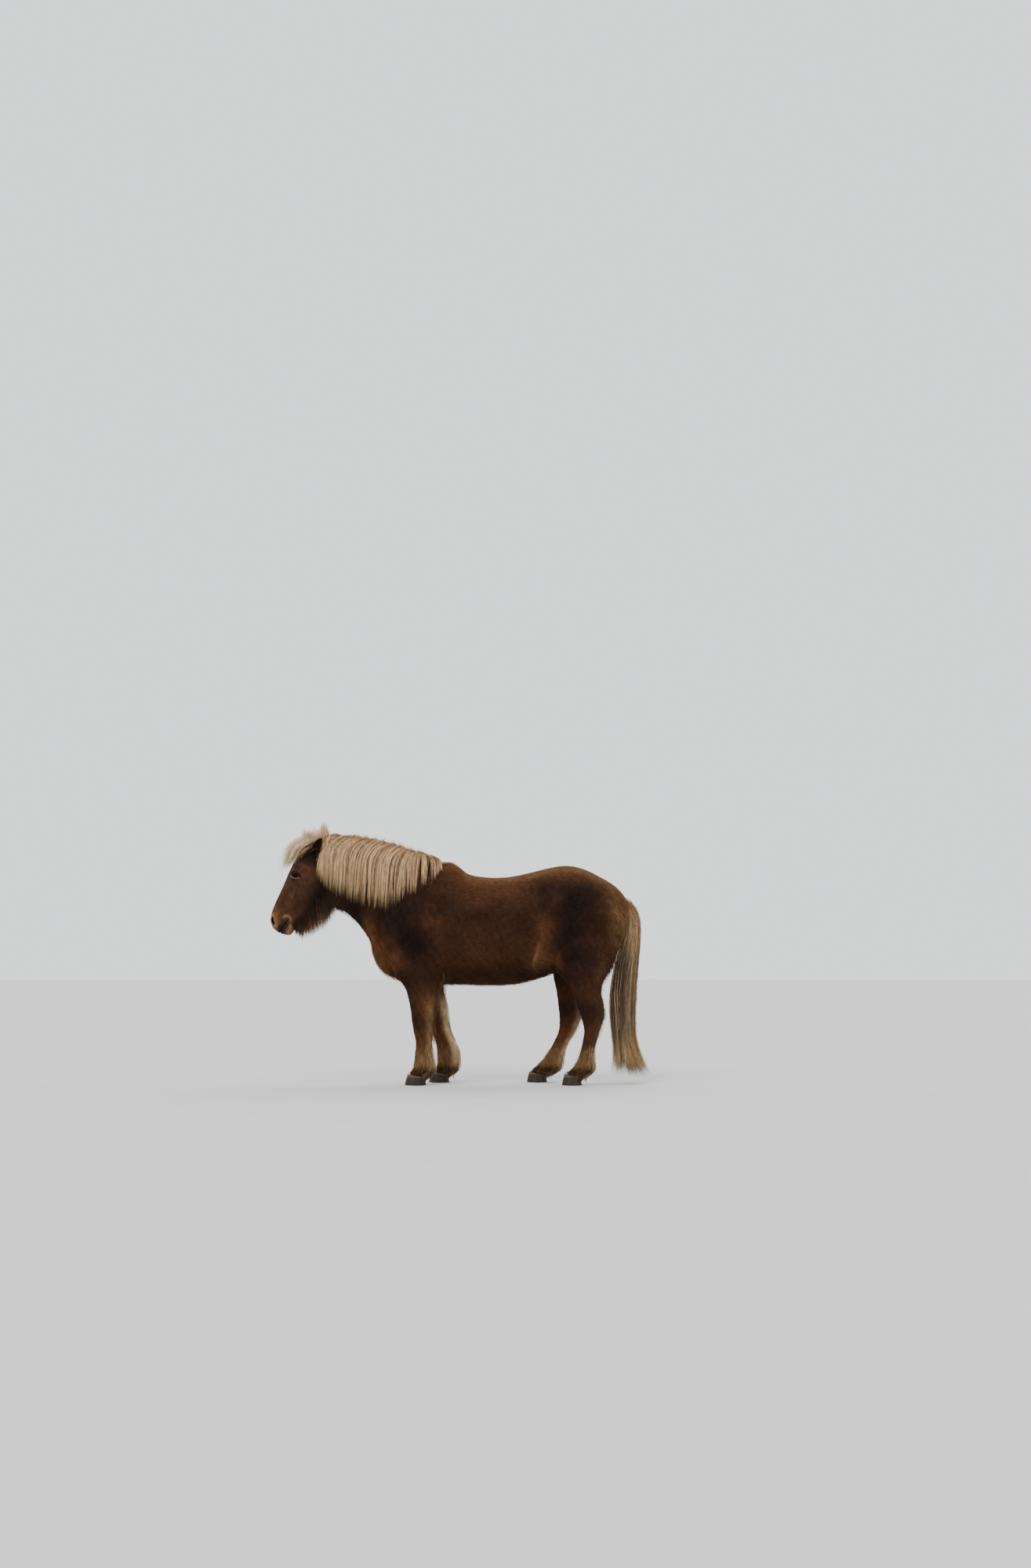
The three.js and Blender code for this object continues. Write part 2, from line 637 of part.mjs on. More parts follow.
// The beard below the jaw: x, and the height that its tips reach down to.
const BEARD_EDGE = [
  [-1046, 945],
  [-1018, 924],
  [-995, 934],
  [-940, 961],
  [-885, 1000],
  [-841, 1048],
  [-800, 1116],
];
const BEARD = { count: 26, width: 19, thick: 7 };

function beardLocks() {
  const random = seeded(11);
  const made = [];
  for (let i = 0; i < BEARD.count; i++) {
    const t = mix(0.19, 0.66, (i + random(0.2, 0.8)) / BEARD.count);
    const turn = [-34, 0, 34][i % 3] + random(-8, 8);
    const angle = THREE.MathUtils.degToRad(-90 + turn);
    const surface = head.point(t, angle);
    const inside = head.point(t, angle, -15);
    const [edge] = between(BEARD_EDGE, surface.x);
    const drop = Math.max(30, surface.z - edge - random(0, i % 3 === 1 ? 8 : 34));
    const away = Math.sign(surface.y) * Math.min(12, Math.abs(surface.y) * 0.4);
    const path = [
      inside,
      surface.clone().add(new THREE.Vector3(0, away * 0.5, -drop * 0.12)),
      surface.clone().add(new THREE.Vector3(5, away, -drop * 0.55)),
      surface.clone().add(new THREE.Vector3(random(-6, 10), away * 0.6, -drop)),
    ];
    made.push(lock(path, BEARD.width * random(0.85, 1.2), BEARD.thick, new THREE.Vector3(0.25, turn < 0 ? -1 : 1, 0), 5));
  }
  return made;
}

// The tail: its outline, filled with locks that leave a core of half its length.
const tailForm = new Tube([
  { top: [1040, 1200], low: [1010, 1120], half: 26 },
  { top: [1108, 1162], low: [1052, 1080], half: 36 },
  { top: [1150, 1090], low: [1066, 1020], half: 48 },
  { top: [1166, 1010], low: [1060, 930], half: 58 },
  { top: [1158, 880], low: [1035, 850], half: 66 },
  { top: [1142, 740], low: [1000, 730], half: 72 },
  { top: [1134, 600], low: [968, 600], half: 76 },
  { top: [1122, 420], low: [966, 420], half: 78 },
  { top: [1128, 270], low: [980, 280], half: 76 },
  { top: [1160, 150], low: [986, 160], half: 72 },
  { top: [1210, 50], low: [988, 50], half: 66 },
]);
const TAIL = { count: 26, width: 14, thick: 10, core: 0.42, coreTo: 0.48 };

// A place in the tail: t along it, and shares of its half depth and half width.
function inTail(t, depth, aside) {
  const s = tailForm.station(t);
  const at = s.low.clone().addScaledVector(s.up, s.height * (0.5 + depth / 2));
  return at.add(new THREE.Vector3(0, s.half * aside, 0));
}

function tailLocks() {
  const random = seeded(5);
  const core = [];
  for (let i = 0; i <= 8; i++) {
    const t = (TAIL.coreTo * i) / 8;
    const thin = i < 3 ? mix(1, TAIL.core, i / 3) : mix(TAIL.core, 0.2, (i - 3) / 5);
    core.push(
      Array.from({ length: 10 }, (_, j) => {
        const angle = (2 * Math.PI * j) / 10;
        return inTail(t, Math.sin(angle) * thin, -Math.cos(angle) * thin);
      }),
    );
  }
  const made = [skin(core)];
  for (let i = 0; i < TAIL.count; i++) {
    const angle = (2 * Math.PI * (i + random(-0.12, 0.12))) / TAIL.count;
    const size = [0.95, 0.76][i % 2];
    const depth = Math.sin(angle) * size;
    const aside = Math.cos(angle) * size;
    const from = mix(0.08, 0.4, ((i * 7) % TAIL.count) / TAIL.count);
    const to = depth > 0 ? random(0.93, 0.995) : random(0.88, 0.97);
    const path = [inTail(from, depth * 0.3, aside * 0.3), inTail(from + 0.07, depth * 0.8, aside * 0.8)];
    for (const s of [0.25, 0.5, 0.75, 1]) {
      const sway = 1 + random(-0.04, 0.04);
      path.push(inTail(mix(from + 0.07, to, s), depth * sway, aside * sway));
    }
    const facing = new THREE.Vector3(Math.sin(angle), Math.cos(angle) * 1.4, 0);
    made.push(lock(path, TAIL.width * random(0.9, 1.1), TAIL.thick, facing, 6));
  }
  return made;
}

// Feather behind the fetlock, and the fringe behind a front leg's knee.
const FEATHER = { count: 6, width: 15, thick: 6, fringe: 3 };

function featherLocks(leg, seed) {
  const random = seeded(seed);
  const made = [];
  const steps = leg.stations.length - 1;
  const front = leg.cell.front[0] < 0;
  for (let i = 0; i < FEATHER.count; i++) {
    const turn = mix(-72, 72, (i + 0.5) / FEATHER.count);
    const angle = THREE.MathUtils.degToRad(-90 + turn);
    const t = (steps - mix(2.15, 1.1, (i * 3 % FEATHER.count) / FEATHER.count)) / steps;
    const surface = leg.tube.point(t, angle);
    const out = leg.tube.point(t, angle, 1).sub(surface).setZ(0).normalize();
    const low = random(14, 34);
    const path = [
      leg.tube.point(t, angle, -12),
      surface.clone().addScaledVector(out, 7).setZ(surface.z - 16),
      surface.clone().addScaledVector(out, 15).setZ(mix(surface.z, low, 0.6)),
      surface.clone().addScaledVector(out, random(12, 20)).setZ(low),
    ];
    made.push(lock(path, FEATHER.width * random(0.9, 1.2), FEATHER.thick, out, 4));
  }
  for (let i = 0; front && i < FEATHER.fringe; i++) {
    const t = mix(5.0, 6.6, i / FEATHER.fringe) / steps;
    const angle = THREE.MathUtils.degToRad(-90 + [-14, 10][i % 2]);
    const surface = leg.tube.point(t, angle);
    const path = [
      leg.tube.point(t, angle, -12),
      surface.clone().add(new THREE.Vector3(10, 0, -24)),
      surface.clone().add(new THREE.Vector3(random(20, 28), 0, -random(62, 84))),
    ];
    made.push(lock(path, 11, 5, new THREE.Vector3(0.4, Math.sign(leg.y), 0), 4));
  }
  return made;
}

function flesh(grow = 0) {
  return joined([
    torso.solid(25, 20, grow),
    neck.solid(14, 20, grow),
    grow ? head.solid(24, 18, grow) : headFlesh(),
    ...Object.values(LEGS).map((leg) => leg.tube.solid(18, 12, grow)),
  ]);
}

const whole = flesh();
const around = flesh(CLEAR);

const nodes = {};
nodes.head = trim(whole, reverse(THROAT_CUT));
nodes.neck = trim(trim(whole, THROAT_CUT), reverse(NECK_CUT));
nodes.torso = trim(whole, NECK_CUT);
for (const [name, leg] of Object.entries(LEGS)) {
  nodes[name] = largest(nodes.torso.intersect(legCell(leg)));
}
nodes.torso = largest(nodes.torso.subtract(joined(Object.values(LEGS).map((leg) => legCell(leg, GAP)))));

for (const [side, sign] of Object.entries(SIDES)) {
  nodes[`eye_${side}`] = eyeball(sign);
  nodes.head = nodes.head.subtract(eyeball(sign, GAP));
  nodes[`ear_${side}`] = largest(ear(sign).subtract(head.solid(24, 18, CLEAR)).subtract(neck.solid(14, 20, CLEAR)));
}
for (const [name, leg] of Object.entries(LEGS)) {
  nodes[name.replace("leg", "hoof")] = hoof(leg);
}

// The hair is cut clear of the nodes that it doesn't grow from, then fused with the one that it does.
const POLL_CUT = { normal: [1, 0, 0], offset: -863 };
const overPoll = new THREE.BoxGeometry(400, 500, 400);
overPoll.translate(POLL_CUT.offset + GAP - 200, 0, 1440 + 200);

const notNeck = [trim(around, reverse(THROAT_CUT), -GAP), trim(around, NECK_CUT, -GAP), solidOf(overPoll), ...ears(CLEAR)];
const notHead = [trim(around, THROAT_CUT, -GAP), ...ears(CLEAR)];
const mane = joined(maneLocks()).subtract(joined(notNeck));
const forelock = trim(joined(forelockLocks()), reverse(POLL_CUT));
const beard = trim(joined(beardLocks()), reverse(THROAT_CUT), 2);
nodes.neck = largest(joined([nodes.neck, mane]));
nodes.head = largest(joined([nodes.head, joined([forelock, beard]).subtract(joined(notHead))]));
nodes.tail = largest(joined(tailLocks()).subtract(around));
for (const [i, [name, leg]] of Object.entries(LEGS).entries()) {
  const feather = joined(featherLocks(leg, 20 + i)).subtract(hoof(leg, CLEAR));
  nodes[name] = largest(joined([nodes[name], feather]));
}

// The whole stands with the middle of its length and width over the origin.
const extent = Object.values(nodes).map((solid) => solid.boundingBox());
const middle = [0, 1].map((axis) => {
  const ends = extent.map((box) => [box.min[axis], box.max[axis]]);
  return (Math.min(...ends.map((e) => e[0])) + Math.max(...ends.map((e) => e[1]))) / 2;
});

const horse = new THREE.Group();
for (const [name, solid] of Object.entries(nodes)) {
  const placed = solid.translate(-middle[0], -middle[1], 0);
  const mesh = new THREE.Mesh(geometryOf(placed), MATERIALS[name.split("_")[0]] ?? MATERIALS.coat);
  mesh.name = name;
  horse.add(mesh);
}

export default horse;
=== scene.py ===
"""The looks of a life-size Icelandic horse in its winter coat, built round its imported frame.

One skin stands for the flesh and the ears. Over it lie the coat's tufts, the mane, forelock, beard,
tail and feather as strands, and the eyes, lids and hooves are pieces of their own. Tufts and strands
are grown by two Geometry Nodes trees. Side view numbers are millimetres as in the part's source: x
towards the tail and z up, before the frame's own shift.
"""

import math

import bmesh
import bpy
import numpy as np
from bpy.props import FloatProperty, FloatVectorProperty, IntProperty, PointerProperty
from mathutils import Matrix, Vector


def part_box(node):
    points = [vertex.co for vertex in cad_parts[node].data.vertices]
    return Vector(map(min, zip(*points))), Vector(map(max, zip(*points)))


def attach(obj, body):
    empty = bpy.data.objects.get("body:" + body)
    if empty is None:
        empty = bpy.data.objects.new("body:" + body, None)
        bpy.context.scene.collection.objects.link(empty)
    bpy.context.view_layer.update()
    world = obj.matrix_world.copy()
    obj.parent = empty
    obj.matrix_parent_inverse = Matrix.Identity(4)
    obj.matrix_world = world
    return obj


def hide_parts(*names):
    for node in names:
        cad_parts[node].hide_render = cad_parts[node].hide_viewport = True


bl_info = {
    "name": "Icelandic Horse",
    "version": (1, 0, 0),
    "blender": (4, 5, 0),
    "location": "View3D > Sidebar > Horse",
    "description": "Builds the skin, coat, mane, tail, eyes and hooves of a standing Icelandic horse",
    "category": "Add Mesh",
}

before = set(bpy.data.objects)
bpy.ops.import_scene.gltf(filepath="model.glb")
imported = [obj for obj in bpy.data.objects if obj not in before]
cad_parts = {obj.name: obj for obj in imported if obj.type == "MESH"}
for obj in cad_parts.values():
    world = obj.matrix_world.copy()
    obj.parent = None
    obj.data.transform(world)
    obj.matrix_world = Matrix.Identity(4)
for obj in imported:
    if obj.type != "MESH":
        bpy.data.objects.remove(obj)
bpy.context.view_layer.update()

# Shapes in the side view

TORSO = [
    (-566, 960, -556, 830, 60, 0.5, 0, 0),
    (-530, 1090, -514, 745, 135, 0.5, 0, 0),
    (-430, 1230, -436, 682, 185, 0.45, 0, 0),
    (-310, 1330, -330, 648, 212, 0.42, 0.1, 0),
    (-170, 1385, -190, 634, 226, 0.42, 0.3, 0),
    (-45, 1403, -60, 629, 240, 0.44, 0.4, 0),
    (60, 1338, 60, 626, 258, 0.48, 0.15, 0),
    (180, 1316, 180, 623, 276, 0.48, 0, 0),
    (310, 1318, 300, 626, 286, 0.48, -0.05, 0),
    (440, 1342, 420, 642, 284, 0.5, -0.05, 0),
    (560, 1372, 540, 680, 272, 0.52, -0.05, 0),
    (680, 1391, 650, 716, 262, 0.55, 0, 0),
    (790, 1373, 770, 735, 254, 0.55, 0, 0),
    (900, 1322, 880, 760, 238, 0.55, 0, 0),
    (1000, 1260, 980, 820, 200, 0.55, 0, 0),
    (1062, 1190, 1045, 905, 140, 0.5, 0, 0),
    (1085, 1120, 1075, 1010, 55, 0.5, 0, 0),
]
NECK = [
    (-925, 1490, -905, 1330, 50, 0.5, 0, 0),
    (-878, 1520, -850, 1215, 70, 0.48, 0, 0),
    (-775, 1550, -800, 1128, 88, 0.45, 0.25, 0),
    (-650, 1547, -735, 1086, 98, 0.42, 0.35, 0),
    (-530, 1528, -655, 1015, 112, 0.4, 0.4, 0),
    (-405, 1498, -594, 935, 132, 0.38, 0.42, 0),
    (-285, 1458, -550, 850, 158, 0.36, 0.42, 0),
    (-160, 1420, -478, 775, 180, 0.36, 0.42, 0),
    (-40, 1372, -380, 760, 172, 0.38, 0.45, 0),
]
# Along and rise of the top and low line, in the head's own frame
HEAD = [
    (-8, -114, -10, -210, 42, 0.5, 0, 0),
    (14, -74, 20, -270, 62, 0.55, 0, 0),
    (62, -31, 80, -305, 78, 0.6, -0.05, 0),
    (140, -5, 160, -326, 93, 0.72, -0.25, -0.15),
    (225, 1, 240, -328, 99, 0.76, -0.2, -0.1),
    (305, 0, 322, -304, 84, 0.68, -0.1, -0.1),
    (390, 0, 402, -258, 66, 0.6, -0.1, 0),
    (460, 0, 468, -212, 56, 0.56, -0.1, 0),
    (520, -5, 520, -190, 54, 0.56, -0.15, 0),
    (563, -18, 560, -192, 57, 0.6, -0.15, 0.1),
    (592, -40, 588, -190, 50, 0.58, -0.15, 0.1),
    (608, -66, 604, -172, 36, 0.55, 0, 0),
    (614, -92, 612, -142, 14, 0.5, 0, 0),
]
# Front edge, back edge, half width and inward shift of each leg, then its toe and heel on the floor
LEGS = {
    "front_left": (-132, [
        (-300, 1160, -110, 1160, 40, 34),
        (-385, 985, -90, 960, 68, 22),
        (-432, 838, -85, 812, 80, 6),
        (-410, 710, -100, 700, 76, 0),
        (-341, 605, -125, 600, 62, 0),
        (-309, 485, -146, 490, 53, 0),
        (-296, 395, -155, 400, 47, 0),
        (-288, 340, -155, 345, 45, 0),
        (-274, 280, -160, 285, 37, 0),
        (-275, 210, -158, 210, 36, 0),
        (-283, 150, -148, 145, 41, 0),
        (-290, 100, -142, 85, 47, 0),
        (-318, 68, -180, 44, 52, 0),
    ], (-336, -200)),
    "front_right": (132, [
        (-290, 1160, -100, 1160, 40, 34),
        (-375, 985, -80, 960, 68, 22),
        (-412, 838, -75, 812, 80, 6),
        (-370, 710, -85, 700, 76, 0),
        (-290, 605, -100, 600, 62, 0),
        (-240, 485, -82, 490, 53, 0),
        (-212, 395, -72, 400, 47, 0),
        (-198, 340, -62, 345, 45, 0),
        (-168, 280, -34, 285, 37, 0),
        (-152, 210, -6, 210, 36, 0),
        (-148, 150, 3, 145, 41, 0),
        (-152, 100, -4, 85, 47, 0),
        (-180, 68, -44, 44, 52, 0),
    ], (-198, -64)),
    "hind_left": (-138, [
        (680, 1200, 960, 1180, 50, 40),
        (620, 1010, 1046, 1030, 82, 22),
        (588, 866, 1022, 880, 92, 5),
        (604, 745, 978, 750, 86, 0),
        (680, 655, 925, 660, 70, 0),
        (722, 570, 908, 575, 56, 0),
        (748, 490, 922, 500, 46, 0),
        (776, 405, 926, 432, 43, 0),
        (790, 335, 902, 355, 40, 0),
        (778, 265, 878, 275, 35, 0),
        (763, 200, 860, 205, 34, 0),
        (742, 145, 860, 150, 40, 0),
        (708, 98, 858, 92, 46, 0),
        (668, 70, 800, 42, 50, 0),
    ], (652, 780)),
    "hind_right": (138, [
        (680, 1200, 960, 1180, 50, 40),
        (620, 1010, 1046, 1030, 82, 22),
        (584, 866, 1006, 880, 92, 5),
        (596, 745, 945, 750, 86, 0),
        (606, 655, 862, 665, 70, 0),
        (624, 570, 815, 590, 56, 0),
        (634, 490, 798, 515, 46, 0),
        (642, 400, 795, 440, 43, 0),
        (634, 320, 764, 345, 40, 0),
        (600, 248, 716, 262, 35, 0),
        (560, 182, 684, 200, 34, 0),
        (522, 132, 672, 145, 40, 0),
        (482, 92, 656, 84, 46, 0),
        (448, 66, 584, 38, 50, 0),
    ], (434, 566)),
}
# The frame's x less the side view's, by the toe of the near front hoof
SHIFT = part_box("hoof_front_left")[0].x - LEGS["front_left"][2][0] / 1000
POLL = (-1003, 1561)
FACE_SLOPE = math.radians(65.8)


def on_head(along, rise):
    """The side view's x and z of a place in the head's frame."""
    c, s = math.cos(FACE_SLOPE), math.sin(FACE_SLOPE)
    return POLL[0] - c * along - s * rise, POLL[1] - s * along + c * rise


def head_place(x, z):
    """Along and rise in the head's frame of a place in the side view."""
    c, s = math.cos(FACE_SLOPE), math.sin(FACE_SLOPE)
    return -c * (x - POLL[0]) - s * (z - POLL[1]), -s * (x - POLL[0]) + c * (z - POLL[1])


def metres(points):
    """Side view millimetres, as rows of x, y and z, in the frame's metres."""
    return np.asarray(points, float) / 1000 + [SHIFT, 0, 0]


def millimetres(points):
    """The frame's metres as side view millimetres."""
    return (np.asarray(points, float) - [SHIFT, 0, 0]) * 1000


def follow(points, t):
    """Reads a smooth line through points at t, from 0 at the first to 1 at the last."""
    p = np.asarray(points, float)
    p = np.concatenate([2 * p[:1] - p[1:2], p, 2 * p[-1:] - p[-2:-1]])
    at = np.clip(np.asarray(t, float) * (len(p) - 3), 0, len(p) - 3 - 1e-9)
    i = at.astype(int)
    w = (at - i)[..., None]
    a, b, c, d = p[i], p[i + 1], p[i + 2], p[i + 3]
    return b + 0.5 * w * ((c - a) + w * ((2 * a - 5 * b + 4 * c - d) + w * (3 * (b - c) + d - a)))


def unit(v):
    return v / np.maximum(np.linalg.norm(v, axis=-1, keepdims=True), 1e-9)


def mix(a, b, share):
    return a + (b - a) * share


def ramp(x, low, high):
    """0 below low, 1 above high and smooth between. Low may be the larger one."""
    t = np.clip((np.asarray(x, float) - low) / (high - low), 0, 1)
    return t * t * (3 - 2 * t)


def bell(x, middle, width):
    """1 at the middle, and near 0 from twice the width away."""
    return np.exp(-(((x - middle) / width) ** 2))


def turned(u, v, angle):
    """Two coordinates, turned by an angle."""
    c, s = math.cos(angle), math.sin(angle)
    return c * u - s * v, s * u + c * v


def layered(base, *layers):
    """Lays colours or lengths over a base, each with the share that it takes."""
    for value, share in layers:
        base = mix(base, value, share)
    return base


def rows_of(*columns):
    """Rows from columns, each an array or one number for all rows."""
    return np.stack(np.broadcast_arrays(*columns), -1)


def full_turn(steps):
    """Angles once round."""
    return np.linspace(0, 2 * math.pi, steps, endpoint=False)


def tube_faces(rings, sides):
    """Faces between the rings of a tube, and fans at its ends to the two vertices after the rings."""
    faces = []
    for i in range(rings - 1):
        for j in range(sides):
            a, b = i * sides + j, i * sides + (j + 1) % sides
            faces.append((a, b, b + sides, a + sides))
    end = rings * sides
    for j in range(sides):
        after = (j + 1) % sides
        faces += [(end, after, j), (end + 1, end - sides + j, end - sides + after)]
    return faces


class Tube:
    """A tube through stations, in side view millimetres.

    A row is its upper and its lower point, half its width, the share of its height at which it is
    widest, how much it narrows towards its top and its bottom, and how far aside its middle is."""

    def __init__(self, rows):
        self.rows = np.array([(*r, 0)[:9] for r in rows], float)

    def station(self, t):
        r = follow(self.rows, t)
        top, low = r[..., 0:2], r[..., 2:4]
        height = np.linalg.norm(top - low, axis=-1)
        return top, low, (top - low) / height[..., None], height, *(r[..., k] for k in range(4, 9))

    def surface(self, t, angle, out=0.0):
        """Points at t along and at an angle round: 0 is the left side and 90 degrees the top."""
        t, angle, out = np.broadcast_arrays(np.asarray(t, float), angle, out)
        _, low, up, height, half, wide, peak, keel, y = self.station(t)
        rise = np.sin(angle)
        reach = np.where(rise > 0, height * (1 - wide), height * wide) + out
        aside = (half + out) * np.cos(angle) * (1 - np.where(rise > 0, peak, keel) * rise**2)
        at = low + up * (height * wide + reach * rise)[..., None]
        return rows_of(at[..., 0], y - aside, at[..., 1])

    def mesh(self, rings, sides, out=0.0):
        """Vertices and faces of the closed tube. Out may be a number for each ring."""
        t = np.linspace(0, 1, rings + 1)[:, None]
        out = np.broadcast_to(np.asarray(out, float).reshape(-1, 1), (rings + 1, 1))
        p = self.surface(t, full_turn(sides), out)
        return np.vstack([p.reshape(-1, 3), p[0].mean(0), p[-1].mean(0)]), tube_faces(rings + 1, sides)


torso = Tube(TORSO)
neck = Tube(NECK)
head = Tube([(*on_head(a, b), *on_head(c, d), *rest) for a, b, c, d, *rest in HEAD])


def leg_tube(name):
    y, rows, _ = LEGS[name]
    return Tube([(*r[:5], 0.5, 0, 0, y - math.copysign(r[5], y)) for r in rows])


legs = {name: leg_tube(name) for name in LEGS}


class SideReach:
    """How far the flesh stands out from the middle, read at places of the side view."""

    LOW, HIGH, STEP = np.array([-1300.0, -20.0]), np.array([1300.0, 1800.0]), 4.0

    def __init__(self, *tubes):
        self.size = ((self.HIGH - self.LOW) / self.STEP).astype(int) + 1
        self.grid = np.zeros(self.size)
        t, angle = np.meshgrid(np.linspace(0, 1, 900), np.linspace(-math.pi / 2, math.pi / 2, 500))
        for tube in tubes:
            p = tube.surface(t, angle).reshape(-1, 3)
            i = np.clip(((p[:, [0, 2]] - self.LOW) / self.STEP).round().astype(int), 0, self.size - 1)
            np.maximum.at(self.grid, (i[:, 0], i[:, 1]), -p[:, 1])

    def __call__(self, x, z):
        at = np.clip((rows_of(x, z) - self.LOW) / self.STEP, 0, self.size - 1.001)
        a, b = np.moveaxis(at.astype(int), -1, 0)
        u, v = at[..., 0] - a, at[..., 1] - b
        g = self.grid
        return ((g[a, b] * (1 - u) + g[a + 1, b] * u) * (1 - v)
                + (g[a, b + 1] * (1 - u) + g[a + 1, b + 1] * u) * v)


flank = SideReach(torso, neck, head)
head_side = SideReach(head)

SIDES = {"left": -1, "right": 1}
EYE = {
    "along": 241, "rise": -56, "sunk": 15.5, "ball": 24.0, "dome": 27.6, "length": 23.6, "upper": 18.4,
    "lower": 15.2, "bend": 1.7, "tilt": math.radians(14),
}
NOSTRIL = {"along": 562, "rise": -43, "long": 27, "wide": 9, "turn": 0.7}
EAR = {"along": 84, "rise": -106, "aside": 66, "tip": (-876, 1570), "splay": 34, "long": 138}


def eye_centre(sign):
    x, z = on_head(EYE["along"], EYE["rise"])
    return np.array([x, sign * (float(head_side(x, z)) - EYE["sunk"]), z])


def almond(x, z, centre):
    """Below 1 inside the opening of the eye, above 1 outside it, from places in the side view."""
    u, w = turned(x - centre[0], z - centre[2], EYE["tilt"])
    high = np.where(w > 0, EYE["upper"], EYE["lower"])
    return (np.abs(u / EYE["length"]) ** EYE["bend"] + np.abs(w / high) ** 2) ** 0.55, u, w


def on_eyeball(u, w, above, least):
    """Places a little above the ball, and at least so far out, from the opening's own two ways."""
    dx, dz = turned(u, w, -EYE["tilt"])
    return dx, np.sqrt(np.maximum((EYE["ball"] + above) ** 2 - dx**2 - dz**2, least**2)), dz


def nostril_place(along, rise):
    """Below 1 inside the nostril, from places in the head's frame."""
    u, w = turned(along - NOSTRIL["along"], rise - NOSTRIL["rise"], NOSTRIL["turn"])
    return np.sqrt((u / NOSTRIL["long"]) ** 2 + ((w + 0.006 * u * u) / NOSTRIL["wide"]) ** 2)


def mouth_height(along):
    """The rise of the line of the mouth."""
    return -131 + 17 * np.clip((along - 508) / 103, 0, 1)


def ripple(p, scale, seed, octaves=6):
    """A smooth random field from -1 to about 1, of places in millimetres."""
    random = np.random.default_rng(seed)
    total = np.zeros(len(p))
    for _ in range(octaves):
        way = unit(random.normal(size=3)) * (2 * math.pi / (scale * random.uniform(0.7, 1.5)))
        total += np.sin(p @ way + random.uniform(0, 2 * math.pi))
    return total / math.sqrt(octaves)


# Colours of the coat

def settings():
    return bpy.context.scene.horse


def hue(name):
    """A colour of the settings."""
    return np.array(getattr(settings(), name))


def patch(x, z, row):
    """1 in the middle of a patch and 0 far from it. A row is its place, its two radii and its turn."""
    cx, cz, rx, rz, turn = row
    u, v = turned(x - cx, z - cz, -math.radians(turn))
    return np.exp(-((u / rx) ** 2 + (v / rz) ** 2))


# Which colour, how strong, then x, z, two radii and turn
MARKINGS_AND_PAINTED_LIGHT = [
    ("warm", 0.3, (120, 1200, 330, 100, 0)),
    ("warm", 0.25, (150, 830, 280, 110, 0)),
    ("dark", 0.5, (-130, 1160, 180, 70, -15)),
    ("dark", 0.35, (-260, 1210, 90, 80, 0)),
    ("dark", 0.3, (80, 1040, 90, 40, 10)),
    ("dark", 0.8, (-400, 1060, 120, 180, 10)),
    ("dark", 0.5, (-330, 950, 130, 190, 15)),
    ("dark", 0.85, (-280, 880, 80, 90, 0)),
    ("warm", 0.4, (-165, 1025, 90, 50, 0)),
    ("dark", 0.9, (-640, 1120, 150, 120, 40)),
    ("dark", 0.5, (-700, 1060, 90, 60, 40)),
    ("dark", 0.6, (540, 1220, 44, 120, 0)),
    ("dark", 0.7, (560, 1285, 90, 55, 10)),
    # Partly the croup's own colour, partly painted top light along its top line
    ("warm", 0.5, (760, 1355, 150, 34, 0)),
    ("golden", 0.4, (800, 1352, 130, 36, -12)),
    ("dark", 0.25, (440, 960, 40, 80, 0)),
    ("dark", 0.85, (725, 1150, 160, 135, 0)),
    ("dark", 0.5, (850, 1180, 80, 130, 0)),
    ("dark", 0.9, (725, 820, 90, 105, 0)),
    ("dark", 0.85, (695, 985, 95, 130, 0)),
    ("dark", 0.4, (850, 800, 60, 90, 0)),
    ("warm", 0.55, (530, 970, 60, 120, 0)),
    ("warm", 0.5, (512, 880, 44, 70, 0)),
    ("pale_hair", 0.14, (512, 775, 66, 56, 0)),
    ("warm", 0.15, (612, 1175, 38, 28, 0)),
    ("warm", 0.7, (545, 785, 80, 60, 0)),
    # Painted highlight along the fold between barrel and thigh, and its painted shadow in front of it
    ("pale_hair", 0.2, (482, 775, 7, 100, -17)),
    ("dark", 0.35, (462, 780, 8, 90, -17)),
    # Partly golden hair, partly painted rim light along the rear edges of the buttock and the hind leg
    ("golden", 1.0, (1050, 1020, 95, 200, 10)),
    ("pale_hair", 0.2, (1050, 1000, 60, 150, 10)),
    ("golden", 0.42, (900, 640, 50, 160, 0)),
    ("warm", 0.4, (-230, 430, 60, 60, 0)),
    ("orange", 0.9, (-490, 775, 90, 120, 25)),
    # Partly orange hair, partly painted rim light along the chest's front edge
    ("orange", 0.5, (-575, 930, 40, 130, 10)),
    ("orange", 0.2, (-810, 1120, 50, 60, 0)),
]


# The same on the head, in its own frame. The first and third rows are painted highlight along the facial
# crest, the fourth is painted shade below it.
FACE_MARKS_AND_PAINTED_LIGHT = [
    ("warm", 0.3, (290, -112, 80, 24, 0)),
    ("warm", 0.3, (164, -92, 13, 42, 0)),
    ("warm", 0.25, (400, -100, 60, 16, 0)),
    ("dark", 0.45, (390, -142, 70, 22, 0)),
    ("dark", 0.3, (400, -50, 70, 16, 0)),
    ("dark", 0.45, (235, -62, 40, 34, 0)),
]
# How strong each leg's dark front, pale back, flaxen fringe and brown cannon are. The pale back and flaxen
# fringe, strongest on the far legs, are partly pale hair, partly painted rim light.
LEG_TONES = {
    "front_left": (0.6, 0.6, 0, 0),
    "front_right": (0.35, 1.0, 1.0, 0),
    "hind_left": (0.6, 0.35, 0, 0.6),
    "hind_right": (0.35, 0.65, 0.45, 0),
}
# The x and z of the back's top line. Towards it the back is painted lighter: partly its own reddish brown,
# partly painted top light
BACK_LINE = (
    (-160, -42, 60, 180, 310, 440, 560, 680, 790, 900, 1000, 1062, 1110),
    (1420, 1403, 1338, 1316, 1318, 1342, 1372, 1391, 1373, 1322, 1260, 1190, 1120),
)


